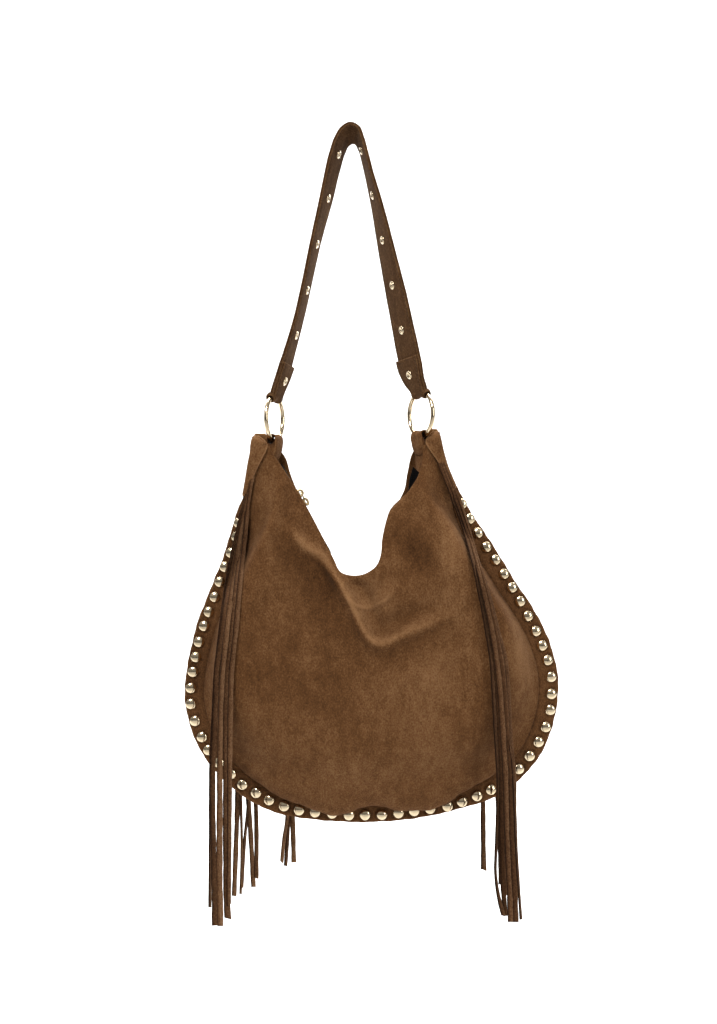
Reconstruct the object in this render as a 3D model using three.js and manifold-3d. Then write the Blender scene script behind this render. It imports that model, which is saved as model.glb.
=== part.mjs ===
// Fringed suede shoulder bag, hanging from the top of its strap.
// Millimetres, +Z up, +X to the wearer's right in the front view, front of the bag towards -Y.
// The origin is on the underside of the strap's highest point, where a hook carries it.
import * as THREE from 'three';
import { mergeVertices } from 'three/addons/utils/BufferGeometryUtils.js';
import Module from 'manifold-3d';

const wasm = await Module();
wasm.setup();

// ---------- driving dimensions (mm) ----------
const EYE = 1500;            // distance of the front elevation's eye point from the rim plane
const EYE_X = 358.5;         // eye point, in elevation coordinates (x right, y down, 1 unit = 1 mm)
const EYE_Y = 512;
const ORIGIN_X = 352;        // strap top in elevation coordinates
const ORIGIN_Y = 135;

const RING_R = 22.25;        // ring's mean radius: 40 mm clear inside
const RING_WIRE = 2.25;      // wire radius: 4.5 mm wire
const RING_L = { x: 274.5, y: 418.5, yaw: 18.6 };
const RING_R_POS = { x: 421, y: 414.5, yaw: -29.5 };
const RING_GAP = 0.5;        // clearance round the wire in the strap's folds
const SWING = 30;            // the body swings this far to the front and to the rear on its rings (degrees)

const STRAP_T = 3.5;         // strap thickness (two skived layers)
const FOLD_T = 2.9;          // thickness of the folded-back end
const STRAP_W = 38;

const SUEDE_T = 2.2;         // panel thickness with its backing
const RIM_T = 5.0;           // rim band thickness, all layers
const RIM_W = 19;            // rim band width
const EAR_HALF = 12.6;       // half depth of the body at the top of the ears
const BELLY = 46;            // half depth of the body at its fullest
const ZIP_TRAVEL = 60;       // straight stretch of the slider's run

const COL = { suede: 0x74502f, dark: 0x5c3c24, gold: 0xd8c08c, black: 0x141210, tape: 0x1b1815 };
const mat = {
  suede: new THREE.MeshStandardMaterial({ color: COL.suede, roughness: 0.95, metalness: 0 }),
  suedeDark: new THREE.MeshStandardMaterial({ color: COL.dark, roughness: 0.95, metalness: 0 }),
  gold: new THREE.MeshStandardMaterial({ color: COL.gold, roughness: 0.22, metalness: 1 }),
  lining: new THREE.MeshStandardMaterial({ color: COL.black, roughness: 0.8, metalness: 0 }),
  tape: new THREE.MeshStandardMaterial({ color: COL.tape, roughness: 0.85, metalness: 0 }),
};

const group = new THREE.Group();
const V = (x, y, z) => new THREE.Vector3(x, y, z);
const clamp = (x, a = 0, b = 1) => Math.min(b, Math.max(a, x));
const smooth = (x) => { const t = clamp(x); return t * t * (3 - 2 * t); };
const lerp = (a, b, t) => a + (b - a) * t;

// A point of the front elevation (x, y) that lies at depth d behind the rim plane.
function at(x, y, d = 0) {
  const k = (EYE + d) / EYE;
  return V(EYE_X + (x - EYE_X) * k - ORIGIN_X, d, ORIGIN_Y - (EYE_Y + (y - EYE_Y) * k));
}

// Piecewise smooth table lookup.
function table(rows, x) {
  if (x <= rows[0][0]) return rows[0][1];
  for (let i = 1; i < rows.length; i++)
    if (x <= rows[i][0]) {
      const t = (x - rows[i - 1][0]) / (rows[i][0] - rows[i - 1][0]);
      return lerp(rows[i - 1][1], rows[i][1], smooth(t));
    }
  return rows[rows.length - 1][1];
}

// ---------- mesh helpers ----------
function geometryOf(verts, tris) {
  const pos = new Float32Array(verts.length * 3);
  verts.forEach((p, i) => { pos[3 * i] = p.x; pos[3 * i + 1] = p.y; pos[3 * i + 2] = p.z; });
  const g = new THREE.BufferGeometry();
  g.setAttribute('position', new THREE.BufferAttribute(pos, 3));
  g.setIndex(tris);
  return outward(g);
}

function outward(g) {
  const p = g.getAttribute('position'), ix = g.index.array;
  const a = V(), b = V(), c = V();
  let vol = 0;
  for (let i = 0; i < ix.length; i += 3) {
    a.fromBufferAttribute(p, ix[i]); b.fromBufferAttribute(p, ix[i + 1]); c.fromBufferAttribute(p, ix[i + 2]);
    vol += a.dot(b.clone().cross(c)) / 6;
  }
  if (vol < 0) for (let i = 0; i < ix.length; i += 3) [ix[i + 1], ix[i + 2]] = [ix[i + 2], ix[i + 1]];
  g.computeVertexNormals();
  return g;
}

function bare(g, tol = 1e-3) {
  const c = g.clone();
  for (const k of Object.keys(c.attributes)) if (k !== 'position') c.deleteAttribute(k);
  return outward(mergeVertices(c, tol));
}

// A closed shell between two grids of points [i][j].
function shell(top, bot) {
  const n = top.length, m = top[0].length, verts = [], tris = [];
  for (const g of [top, bot]) for (const row of g) for (const p of row) verts.push(p);
  const T = (i, j) => i * m + j, B = (i, j) => n * m + i * m + j;
  const quad = (a, b, c, d) => tris.push(a, b, c, a, c, d);
  for (let i = 0; i < n - 1; i++)
    for (let j = 0; j < m - 1; j++) {
      quad(T(i, j), T(i + 1, j), T(i + 1, j + 1), T(i, j + 1));
      quad(B(i, j), B(i, j + 1), B(i + 1, j + 1), B(i + 1, j));
    }
  for (let i = 0; i < n - 1; i++) {
    quad(T(i, 0), B(i, 0), B(i + 1, 0), T(i + 1, 0));
    quad(T(i, m - 1), T(i + 1, m - 1), B(i + 1, m - 1), B(i, m - 1));
  }
  for (let j = 0; j < m - 1; j++) {
    quad(T(0, j), T(0, j + 1), B(0, j + 1), B(0, j));
    quad(T(n - 1, j), B(n - 1, j), B(n - 1, j + 1), T(n - 1, j + 1));
  }
  return geometryOf(verts, tris);
}

// A solid through convex sections, each a list of points in the same order.
function loft(sections) {
  const n = sections.length, m = sections[0].length, verts = sections.flat(), tris = [];
  const I = (i, j) => i * m + (j % m);
  for (let i = 0; i < n - 1; i++)
    for (let j = 0; j < m; j++) tris.push(I(i, j), I(i, j + 1), I(i + 1, j + 1), I(i, j), I(i + 1, j + 1), I(i + 1, j));
  for (let j = 1; j < m - 1; j++) tris.push(I(0, 0), I(0, j + 1), I(0, j), I(n - 1, 0), I(n - 1, j), I(n - 1, j + 1));
  return geometryOf(verts, tris);
}

function solid(geo, matrix) {
  const g = bare(geo);
  if (matrix) g.applyMatrix4(matrix);
  return new wasm.Manifold(new wasm.Mesh({
    numProp: 3,
    vertProperties: Float32Array.from(g.getAttribute('position').array),
    triVerts: Uint32Array.from(g.index.array),
  }));
}

function geometryFrom(man) {
  const m = man.getMesh();
  const g = new THREE.BufferGeometry();
  const n = m.vertProperties.length / m.numProp, pos = new Float32Array(n * 3);
  for (let i = 0; i < n; i++) for (let k = 0; k < 3; k++) pos[3 * i + k] = m.vertProperties[i * m.numProp + k];
  g.setAttribute('position', new THREE.BufferAttribute(pos, 3));
  g.setIndex(Array.from(m.triVerts));
  g.computeVertexNormals();
  return g;
}

function add(name, geometry, material, parent = group) {
  const mesh = new THREE.Mesh(geometry, material);
  mesh.name = name;
  parent.add(mesh);
  return mesh;
}

const curve = (pts) => {
  const c = new THREE.CatmullRomCurve3(pts.map(([x, y]) => V(x, y, 0)), false, 'centripetal');
  c.arcLengthDivisions = 600;
  return c;
};

// ---------- outlines in the front elevation ----------
// Outer edge of the rim, from the left ear round the bottom to the right ear.
const RIM_OUTER = curve([
  [243, 496], [235.5, 515], [229.5, 536], [222.5, 558], [208.5, 593], [197, 623], [190, 651], [185.5, 677], [184.5, 697],
  [187.5, 717], [194.5, 738], [207, 761], [229, 785], [249, 800], [267, 809.5], [287, 815.5], [314, 819.5], [345, 822],
  [372, 822], [398, 820.5], [424, 817], [449, 811.5], [473, 805], [496, 796.5], [519, 780], [537, 760], [548.5, 738],
  [556, 712], [558.5, 690], [557.5, 672], [552.5, 650], [544.5, 629], [532, 606], [516, 582], [503, 561], [490, 540],
  [473, 515], [460.5, 493], [454.5, 481],
]);
// Width of the rim band along its run: it narrows to nothing much under the ear flaps.
const rimWidth = (u) => {
  const L = RIM_OUTER.getLength(), a = u * L, b = (1 - u) * L;
  return lerp(6, RIM_W, smooth(Math.min(a, b) / 55));
};
function rimPoint(u, inset) {
  const p = RIM_OUTER.getPointAt(u), t = RIM_OUTER.getTangentAt(u);
  return V(p.x + t.y * inset * 1, p.y - t.x * inset * 1, 0);
}

// Mouth edges, from the left ear to the right ear.
const MOUTH = {
  front: curve([[268.5, 447], [276, 458], [284, 470], [297, 490], [316.5, 525], [336, 560], [343, 571], [354, 575.5],
    [366, 573], [377, 565], [382, 555], [383, 540], [385.5, 523], [390.5, 509], [399, 500], [407, 493], [413, 484.5],
    [418, 476], [421, 466], [423, 455], [424, 446]]),
  back: curve([[268.5, 446.5], [278, 449], [285.5, 458], [290, 473], [297, 490.5], [316.5, 527], [337, 567], [347, 580],
    [358, 584], [370, 580], [381, 566], [387, 541], [393, 515], [399.5, 500], [404.5, 489], [407.5, 472], [412.5, 453],
    [418, 446], [424, 443.5]]),
};
// Panel outline on the rim side: down the ear's outer edge, then along the inside of the rim band.
const OUTLINE = (() => {
  const pts = [[255.5, 438.5], [252.5, 458], [251, 478]];
  const n = 46;
  for (let i = 0; i <= n; i++) {
    const u = lerp(0.016, 0.984, i / n);
    const p = rimPoint(u, rimWidth(u) + SUEDE_T / 2 + 0.6 + 2.2 * (1 - smooth(Math.min(i, n - i) / 5)));
    pts.push([p.x, p.y]);
  }
  pts.push([443.5, 462], [439, 447], [434.5, 434.5]);
  return curve(pts);
})();

// Half depth of the mouth along its run.
const MOUTH_HALF = [[0, EAR_HALF], [0.07, 11.4], [0.16, 9.2], [0.26, 9.4], [0.36, 12.5], [0.47, 25], [0.6, 34], [0.72, 33],
  [0.84, 23], [0.94, 14], [1, EAR_HALF]];
const rimHalf = (u) => table([[0, EAR_HALF], [0.055, 1.75], [0.945, 1.75], [1, EAR_HALF]], u);

// Mid surface of a panel: u along the mouth, v from the mouth to the rim.
function panelPoint(side, u, v) {
  const s = side === 'front' ? -1 : 1;
  const m = table(MOUTH_HALF, u), b = rimHalf(u);
  const t2 = MOUTH[side].getPointAt(clamp(u)), b2 = OUTLINE.getPointAt(clamp(u));
  const T = at(t2.x, t2.y, s * m), B = at(b2.x, b2.y, 0);
  const L = Math.hypot(T.x - B.x, T.z - B.z);
  const H = Math.max(m, b) + Math.max(0, BELLY - Math.max(m, b)) * smooth((L - 20) / 190);
  const k = smooth((L - 40) / 130), vb = lerp(0.15, 0.7, k);
  let d;
  if (v < vb) d = m + (H - m) * Math.pow(Math.sin((Math.PI / 2) * (v / vb)), 1.15);
  else { const q = (v - vb) / (1 - vb); d = b + (H - b) * Math.pow(Math.max(0, 1 - Math.pow(q, lerp(1.3, 2.2, k))), 1 / lerp(1.05, 1.3, k)); }
  return V(lerp(T.x, B.x, v), s * d, lerp(T.z, B.z, v));
}
function panelNormal(side, u, v) {
  const e = 0.004, s = side === 'front' ? -1 : 1;
  const du = panelPoint(side, clamp(u + e), v).sub(panelPoint(side, clamp(u - e), v));
  const dv = panelPoint(side, u, clamp(v + e)).sub(panelPoint(side, u, clamp(v - e)));
  const n = du.cross(dv).normalize();
  if (n.y * s < 0) n.negate();
  return n;
}
function panelOffset(side, u, v, off) {
  return panelPoint(side, u, v).addScaledVector(panelNormal(side, u, v), off);
}
// Depth of a panel's mid surface under a point of the rim plane.
const SAMPLES = { front: [], back: [] };
for (const side of ['front', 'back'])
  for (let i = 0; i <= 160; i++) for (let j = 0; j <= 60; j++) SAMPLES[side].push(panelPoint(side, i / 160, j / 60));
function depthUnder(side, x, z) {
  const near = [];
  for (const p of SAMPLES[side]) {
    const q = (p.x - x) ** 2 + (p.z - z) ** 2;
    if (near.length < 5 || q < near[4][0]) { near.push([q, Math.abs(p.y)]); near.sort((a, b) => a[0] - b[0]); near.length = Math.min(5, near.length); }
  }
  let sum = 0, w = 0;
  for (const [q, d] of near) { const k = 1 / (q + 0.4); sum += k * d; w += k; }
  return sum / w;
}
function maxDepthNear(side, x, z, r) {
  let d = 0;
  for (const p of SAMPLES[side]) if ((p.x - x) ** 2 + (p.z - z) ** 2 < r * r) d = Math.max(d, Math.abs(p.y));
  return d;
}

// ---------- body panels ----------
const NU = 34;
const US = Array.from({ length: NU + 1 }, (_, i) => i / NU);
const VS = [0, 0.12, 0.26, 0.42, 0.58, 0.7, 0.8, 0.88, 0.94, 0.98, 1];
for (const side of ['front', 'back']) {
  const top = US.map((u) => VS.map((v) => panelOffset(side, u, v, SUEDE_T / 2)));
  const bot = US.map((u) => VS.map((v) => panelOffset(side, u, v, -SUEDE_T / 2)));
  add(side + '_panel', shell(top, bot), mat.suede);
}

// ---------- rim band ----------
{
  const n = 56, outer = [], inner = [];
  for (let i = 0; i <= n; i++) {
    const u = i / n, o = rimPoint(u, 0), q = rimPoint(u, rimWidth(u));
    outer.push(new THREE.Vector2(o.x - ORIGIN_X, ORIGIN_Y - o.y));
    inner.push(new THREE.Vector2(q.x - ORIGIN_X, ORIGIN_Y - q.y));
  }
  const shape = new THREE.Shape([...outer, ...inner.reverse()]);
  const g = bare(new THREE.ExtrudeGeometry(shape, { depth: RIM_T, bevelEnabled: false, steps: 1, curveSegments: 1 }));
  const mesh = add('rim_band', g, mat.suedeDark);
  mesh.rotation.x = Math.PI / 2;
  mesh.position.y = RIM_T / 2;
}

// ---------- lining: one sewn pouch, open along the mouth ----------
{
  const ua = 0.125, ub = 0.875, nu = 24, vs = [0, 0.14, 0.32, 0.5, 0.66, 0.78, 0.87, 0.94, 0.985];
  const T = 0.9;
  const point = (side, i, j, off) => {
    const u = lerp(ua, ub, i / nu), v0 = 9 / 200;
    const edge = smooth(Math.min(i, nu - i) / 3.2);
    const tp = panelPoint(side, u, 0), bp = panelPoint(side, u, 1);
    const L = Math.hypot(tp.x - bp.x, tp.z - bp.z);
    const v = lerp(Math.max(v0, 13 / L), 1 - 6 / Math.max(L, 40), vs[j] / 0.985);
    const p = panelOffset(side, u, v, -(SUEDE_T / 2 + 1.9 + T / 2) + off);
    const s = side === 'front' ? -1 : 1;
    const yMin = (off > 0 ? 0.4 + T : 0.4);
    p.y = s * Math.max(yMin, Math.abs(p.y) * edge);
    return p;
  };
  const ring = (j, off) => {
    const r = [];
    for (let i = 0; i <= nu; i++) r.push(point('front', i, j, off));
    for (let i = nu; i >= 0; i--) r.push(point('back', i, j, off));
    return r;
  };
  const verts = [], tris = [], rows = vs.length, m = 2 * (nu + 1);
  for (const off of [T / 2, -T / 2]) for (let j = 0; j < rows; j++) verts.push(...ring(j, off));
  const O = (j, i) => j * m + (i % m), N = (j, i) => rows * m + j * m + (i % m);
  const quad = (a, b, c, d) => tris.push(a, b, c, a, c, d);
  for (let j = 0; j < rows - 1; j++)
    for (let i = 0; i < m; i++) {
      quad(O(j, i), O(j + 1, i), O(j + 1, i + 1), O(j, i + 1));
      quad(N(j, i), N(j, i + 1), N(j + 1, i + 1), N(j + 1, i));
    }
  for (let i = 0; i < m; i++) quad(O(0, i), O(0, i + 1), N(0, i + 1), N(0, i));
  for (let i = 0; i < nu; i++) {
    const a = i, b = i + 1, c = m - 2 - i, d = m - 1 - i;
    quad(O(rows - 1, a), O(rows - 1, d), O(rows - 1, c), O(rows - 1, b));
    quad(N(rows - 1, a), N(rows - 1, b), N(rows - 1, c), N(rows - 1, d));
  }
  add('lining', geometryOf(verts, tris), mat.lining);
}

// ---------- zip ----------
// The slider's straight run: along the left edge of the mouth, in the middle of its width.
const ZIP_A = at(299, 493.5), ZIP_DIR = V(39, 0, -70).normalize(), ZIP_UP = V(70, 0, 39).normalize();
ZIP_A.addScaledVector(ZIP_UP, -1.2);
for (const side of ['front', 'back']) {
  const s = side === 'front' ? -1 : 1, t = 0.6, rowsT = [], rowsB = [];
  const n = 44;
  for (let i = 0; i <= n; i++) {
    const u = lerp(0.075, 0.91, i / n);
    const tp = panelPoint(side, u, 0), bp = panelPoint(side, u, 1), L = Math.hypot(tp.x - bp.x, tp.z - bp.z);
    const a = panelOffset(side, u, 7 / L, -(SUEDE_T / 2 + 0.45 + t));
    const inw = panelNormal(side, u, 7 / L).negate();
    const w = smooth((u - 0.37) / 0.07) + (1 - smooth((u - 0.09) / 0.03)) * 0;
    // In the slider's stretch the free edge lies flat along its run.
    const lam = tp.clone().sub(ZIP_A).dot(ZIP_DIR);
    const line = ZIP_A.clone().addScaledVector(ZIP_DIR, lam);
    const f = lam < 0 ? 1.7 : 1.7 + 3.6 * Math.pow(clamp(lam / 78), 1.5);
    const F1 = V(line.x, s * f, line.z), K1 = V(line.x, s * 6.0, line.z);
    // Elsewhere it hangs inwards.
    const down = bp.clone().sub(tp).setY(0).normalize();
    const F2 = a.clone().addScaledVector(down, 5.5).add(V(0, -s * Math.min(8, Math.abs(a.y) - 2), 0));
    const K2 = a.clone().addScaledVector(down, -0.5).add(V(0, -s * 2.5, 0));
    const F = F1.lerp(F2, w), K = K1.lerp(K2, w);
    const tan = panelPoint(side, clamp(u + 0.01), 0).sub(panelPoint(side, clamp(u - 0.01), 0)).normalize();
    const pts = [F, K, a], up = [], dn = [];
    for (let k = 0; k < 3; k++) {
      const d = (k === 0 ? K.clone().sub(F) : k === 1 ? a.clone().sub(K).normalize().add(K.clone().sub(F).normalize()) : a.clone().sub(K)).normalize();
      const nn = d.cross(tan).normalize();
      if (nn.dot(ZIP_UP) < 0 && nn.dot(inw) < 0) nn.negate();
      if (nn.dot(down) > 0) nn.negate();
      up.push(pts[k].clone().addScaledVector(nn, t));
      dn.push(pts[k].clone().addScaledVector(nn, -t));
    }
    rowsT.push(up); rowsB.push(dn);
  }
  add('zip_tape_' + side, shell(rowsT, rowsB), mat.tape);
}

const zipFrame = new THREE.Group();
zipFrame.matrixAutoUpdate = false;
zipFrame.matrix.makeBasis(ZIP_DIR, V(0, 1, 0), ZIP_UP).setPosition(ZIP_A);
zipFrame.matrix.decompose(zipFrame.position, zipFrame.quaternion, zipFrame.scale);
zipFrame.matrixAutoUpdate = true;
group.add(zipFrame);
{
  const box = (x, y, z, dx, dy, dz) => solid(new THREE.BoxGeometry(dx, dy, dz), new THREE.Matrix4().makeTranslation(x, y, z));
  const plate = (z) => {
    const s = new THREE.Shape([
      new THREE.Vector2(-4.6, -3.6), new THREE.Vector2(-2.4, -4.6), new THREE.Vector2(3.6, -5.2), new THREE.Vector2(4.8, -4.2),
      new THREE.Vector2(4.8, 4.2), new THREE.Vector2(3.6, 5.2), new THREE.Vector2(-2.4, 4.6), new THREE.Vector2(-4.6, 3.6)]);
    return solid(new THREE.ExtrudeGeometry(s, { depth: 1.2, bevelEnabled: false }), new THREE.Matrix4().makeTranslation(0, 0, z));
  };
  let body = plate(1.0).add(plate(-2.2)).add(box(2.6, 0, 0, 3.0, 2.2, 2.6));
  // Bail: an arch on the top plate.
  body = body.add(box(0, 0, 3.85, 7.4, 2.2, 3.5)).subtract(box(0, 0, 3.35, 5.2, 4, 2.2));
  add('zip_slider', geometryFrom(body), mat.gold, zipFrame);

  // Pull: a flat tag with a square eye round the bail and a round hole at its far end.
  const PIN_Z = 3.45;
  const s = new THREE.Shape([
    new THREE.Vector2(-0.75, -3.2), new THREE.Vector2(7.5, -3.2), new THREE.Vector2(12, -3.9), new THREE.Vector2(16.5, -3.4),
    new THREE.Vector2(18.6, -1.6), new THREE.Vector2(18.6, 1.6), new THREE.Vector2(16.5, 3.4), new THREE.Vector2(12, 3.9),
    new THREE.Vector2(7.5, 3.2), new THREE.Vector2(-0.75, 3.2)]);
  const eye = new THREE.Path([new THREE.Vector2(0.75, -1.8), new THREE.Vector2(5.2, -1.8), new THREE.Vector2(5.2, 1.8), new THREE.Vector2(0.75, 1.8)]);
  const hole = new THREE.Path();
  hole.absarc(14.4, 0, 2.1, 0, Math.PI * 2, true);
  s.holes.push(eye, hole);
  const tag = new THREE.ExtrudeGeometry(s, { depth: 1.2, bevelEnabled: false, curveSegments: 8 });
  tag.translate(0, 0, PIN_Z - 0.6);
  add('zip_puller', bare(tag), mat.gold, zipFrame);
}

// ---------- rings ----------
function ringFrame(r) {
  const a = (r.yaw * Math.PI) / 180;
  const width = V(Math.sin(a), Math.cos(a), 0);      // along the wire at the ring's top, front to rear
  const axis = V(Math.cos(a), -Math.sin(a), 0);      // the ring's own axis
  return { centre: at(r.x, r.y, 0), width, axis };
}
const RINGS = { left: ringFrame(RING_L), right: ringFrame(RING_R_POS) };
function torusAt(f, r, radial, tubular) {
  const q = new THREE.Quaternion().setFromUnitVectors(V(0, 0, 1), f.axis);
  return { g: new THREE.TorusGeometry(RING_R, r, radial, tubular), m: new THREE.Matrix4().compose(f.centre, q, V(1, 1, 1)), q };
}
for (const k of ['left', 'right']) {
  const t = torusAt(RINGS[k], RING_WIRE, 9, 36);
  const mesh = add('ring_' + k, bare(t.g), mat.gold);
  mesh.position.copy(RINGS[k].centre);
  mesh.quaternion.copy(t.q);
}

// ---------- strap ----------
// x, y of the centre line in the front elevation, sideways lean of the width, fore-and-aft tilt, width.
const STRAP = [
  [274.8, 397.0, 0.32, 0, 23], [277.6, 388, 0.30, 0, 26], [281.3, 378, 0.26, 0, 32.5], [285.4, 366, 0.22, 0, 38],
  [291, 347, 0.17, 0, 38], [299, 318, 0.14, 0, 38], [306.2, 286, 0.14, 0, 38], [316, 240, 0.16, 0, 38],
  [326.3, 198, 0.23, -0.04, 38], [334.3, 163, 0.25, -0.12, 38], [339.6, 146, 0.2, -0.22, 38], [344.6, 137.0, 0.12, -0.28, 38],
  [351, 133.3, 0.06, -0.31, 38], [357, 136.0, 0, -0.29, 38], [361.4, 144.6, -0.04, -0.22, 38], [365.4, 159, -0.08, -0.1, 38],
  [370, 178, -0.12, 0, 38], [377, 206, -0.21, 0, 38], [387.9, 257, -0.36, 0, 38], [397.2, 300, -0.46, 0, 38],
  [407.4, 350, -0.52, 0, 38], [411.4, 368, -0.52, 0, 38], [415.2, 379.5, -0.51, 0, 32], [418.8, 387, -0.5, 0, 26],
  [420.9, 393.0, -0.49, 0, 23],
];
const strapCurve = new THREE.CatmullRomCurve3(STRAP.map((s) => at(s[0], s[1], 0)), false, 'centripetal');
function strapFrame(t) {
  const c = strapCurve.getPoint(t), T = strapCurve.getTangent(t);
  const f = t * (STRAP.length - 1), i = Math.min(STRAP.length - 2, Math.floor(f)), k = f - i;
  const wx = lerp(STRAP[i][2], STRAP[i + 1][2], k), wz = lerp(STRAP[i][3], STRAP[i + 1][3], k);
  const W = lerp(STRAP[i][4], STRAP[i + 1][4], k);
  const w = V(wx, Math.sqrt(Math.max(0, 1 - wx * wx - wz * wz)), wz);
  w.addScaledVector(T, -w.dot(T)).normalize();
  return { c, T, w, inn: w.clone().cross(T).normalize(), W };
}
function bandSolid(ts, off, thick) {
  return solid(loft(ts.map((t) => {
    const f = strapFrame(t), h = f.W / 2, p = f.c.clone().addScaledVector(f.inn, off);
    return [[1, 1], [1, -1], [0, -1], [-1, -1], [-1, 1], [0, 1]].map(([a, b]) =>
      p.clone().addScaledVector(f.w, a * h).addScaledVector(f.inn, (b * thick) / 2));
  })));
}
const range = (a, b, n) => Array.from({ length: n + 1 }, (_, i) => lerp(a, b, i / n));
const paramAtY = (y, right) => {
  let best = 0, e = 1e9;
  for (let i = 0; i <= 2000; i++) {
    const t = i / 2000;
    if (right ? t < 0.5 : t > 0.5) continue;
    const d = Math.abs(ORIGIN_Y - strapCurve.getPoint(t).z - y);
    if (d < e) { e = d; best = t; }
  }
  return best;
};
const RIVET_Y = { left: [154, 198, 244, 290, 335, 380], right: [150, 195, 240, 285, 330, 374] };
{
  const foldTop = { left: paramAtY(364, false), right: paramAtY(358, true) };
  const low = range(0, foldTop.left, 7), high = range(foldTop.right, 1, 7);
  let strap = bandSolid([...low.slice(0, -1), ...range(foldTop.left, foldTop.right, 40), ...high.slice(1)], 0, STRAP_T);
  strap = strap.add(bandSolid(low, (STRAP_T + FOLD_T) / 2 - 0.3, FOLD_T + 0.4));
  strap = strap.add(bandSolid(high, (STRAP_T + FOLD_T) / 2 - 0.3, FOLD_T + 0.4));
  for (const k of ['left', 'right']) {
    // The fold round the ring's wire.
    const f = RINGS[k], secs = [];
    for (let a = -31; a <= 31.01; a += 12.4) {
      const r = (a * Math.PI) / 180, dir = f.width.clone().multiplyScalar(Math.sin(r)).add(V(0, 0, Math.cos(r)));
      const c = f.centre.clone().addScaledVector(dir, RING_R);
      secs.push(range(0, 9, 9).map((j) => {
        const b = (j / 10) * Math.PI * 2;
        return c.clone().addScaledVector(dir, 5.3 * Math.cos(b)).addScaledVector(f.axis, 5.3 * Math.sin(b));
      }));
    }
    strap = strap.add(solid(loft(secs)));
  }
  for (const k of ['left', 'right']) {
    const t = torusAt(RINGS[k], RING_WIRE + RING_GAP, 10, 40);
    strap = strap.subtract(solid(t.g, t.m));
  }
  // Rivets: domed caps outside, rolled tubular backs on the inner face.
  for (const k of ['left', 'right'])
    RIVET_Y[k].forEach((y, i) => {
      const t = paramAtY(y, k === 'right'), f = strapFrame(t);
      const folded = i === 5, a = STRAP_T / 2, b = folded ? STRAP_T / 2 + FOLD_T - 0.1 : a;   // outer and inner face
      const q = new THREE.Quaternion().setFromUnitVectors(V(0, 1, 0), f.inn.clone().negate());
      const m = new THREE.Matrix4().compose(f.c, q, V(1, 1, 1));
      const hole = new THREE.CylinderGeometry(2.3, 2.3, 16, 10);
      strap = strap.subtract(solid(hole, m));
      const P = (r, z) => new THREE.Vector2(r, z);
      const prof = [P(0, -b - 0.35), P(1.5, -b - 0.35), P(2.3, -b - 1.5), P(3.7, -b - 1.4), P(4.3, -b - 0.5), P(1.9, -b - 0.5),
        P(1.9, a + 0.5), P(5.3, a + 0.5), P(5.2, a + 1.1), P(3.9, a + 2.5), P(2.0, a + 3.3), P(0, a + 3.5)];
      const g = bare(new THREE.LatheGeometry(prof, 10));
      const mesh = add(`strap_rivet_${k}_${i + 1}`, g, mat.gold);
      mesh.position.copy(f.c);
      mesh.quaternion.copy(q);
    });
  add('strap', geometryFrom(strap), mat.suede);
}

// ---------- ring tabs at the ears ----------
for (const k of ['left', 'right']) {
  const f = RINGS[k];
  const yaw = Math.abs(k === 'left' ? RING_L.yaw : RING_R_POS.yaw) * Math.PI / 180;
  const side = RING_R * Math.sin(yaw) * Math.sin((SWING * Math.PI) / 180);   // how far the wire shifts sideways
  const stadium = (halfW, halfH, from, to, step, inset = 0) => {
    const secs = [];
    for (let a = from; a <= to + 0.01; a += step) {
      const r = (a * Math.PI) / 180, dir = f.width.clone().multiplyScalar(Math.sin(r)).add(V(0, 0, -Math.cos(r)));
      const c = f.centre.clone().addScaledVector(dir, RING_R - inset);
      const pts = [], straight = halfW - halfH;
      for (let j = 0; j < 6; j++) { const b = -Math.PI / 2 + (j / 5) * Math.PI; pts.push([straight + halfH * Math.cos(b), halfH * Math.sin(b)]); }
      for (let j = 0; j < 6; j++) { const b = Math.PI / 2 + (j / 5) * Math.PI; pts.push([-straight + halfH * Math.cos(b), halfH * Math.sin(b)]); }
      secs.push(pts.map(([l, h]) => c.clone().addScaledVector(f.axis, l).addScaledVector(dir, h)));
    }
    return solid(loft(secs));
  };
  let tab = stadium(side + RING_WIRE + 2.6, 5.6, -25, 25, 10, 0.3);
  // The tab's two layers, sewn down inside the ear.
  const z0 = f.centre.z - RING_R - 3.6, slab = [];
  for (const [dz, w] of [[0, 18], [-14, 18], [-30, 13], [-38, 8]]) {
    const c = V(f.centre.x, 0, z0 + dz), n = f.axis;
    slab.push([[1, 1], [1, -1], [-1, -1], [-1, 1]].map(([a, b]) =>
      c.clone().addScaledVector(f.width, (a * w) / 2).addScaledVector(n, b * 1.7)));
  }
  tab = tab.add(solid(loft(slab)));
  tab = tab.subtract(stadium(side + RING_WIRE + 0.7, 3.7, -36, 36, 9, 0.3));
  add('ring_tab_' + k, geometryFrom(tab), mat.suede);
}

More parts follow.
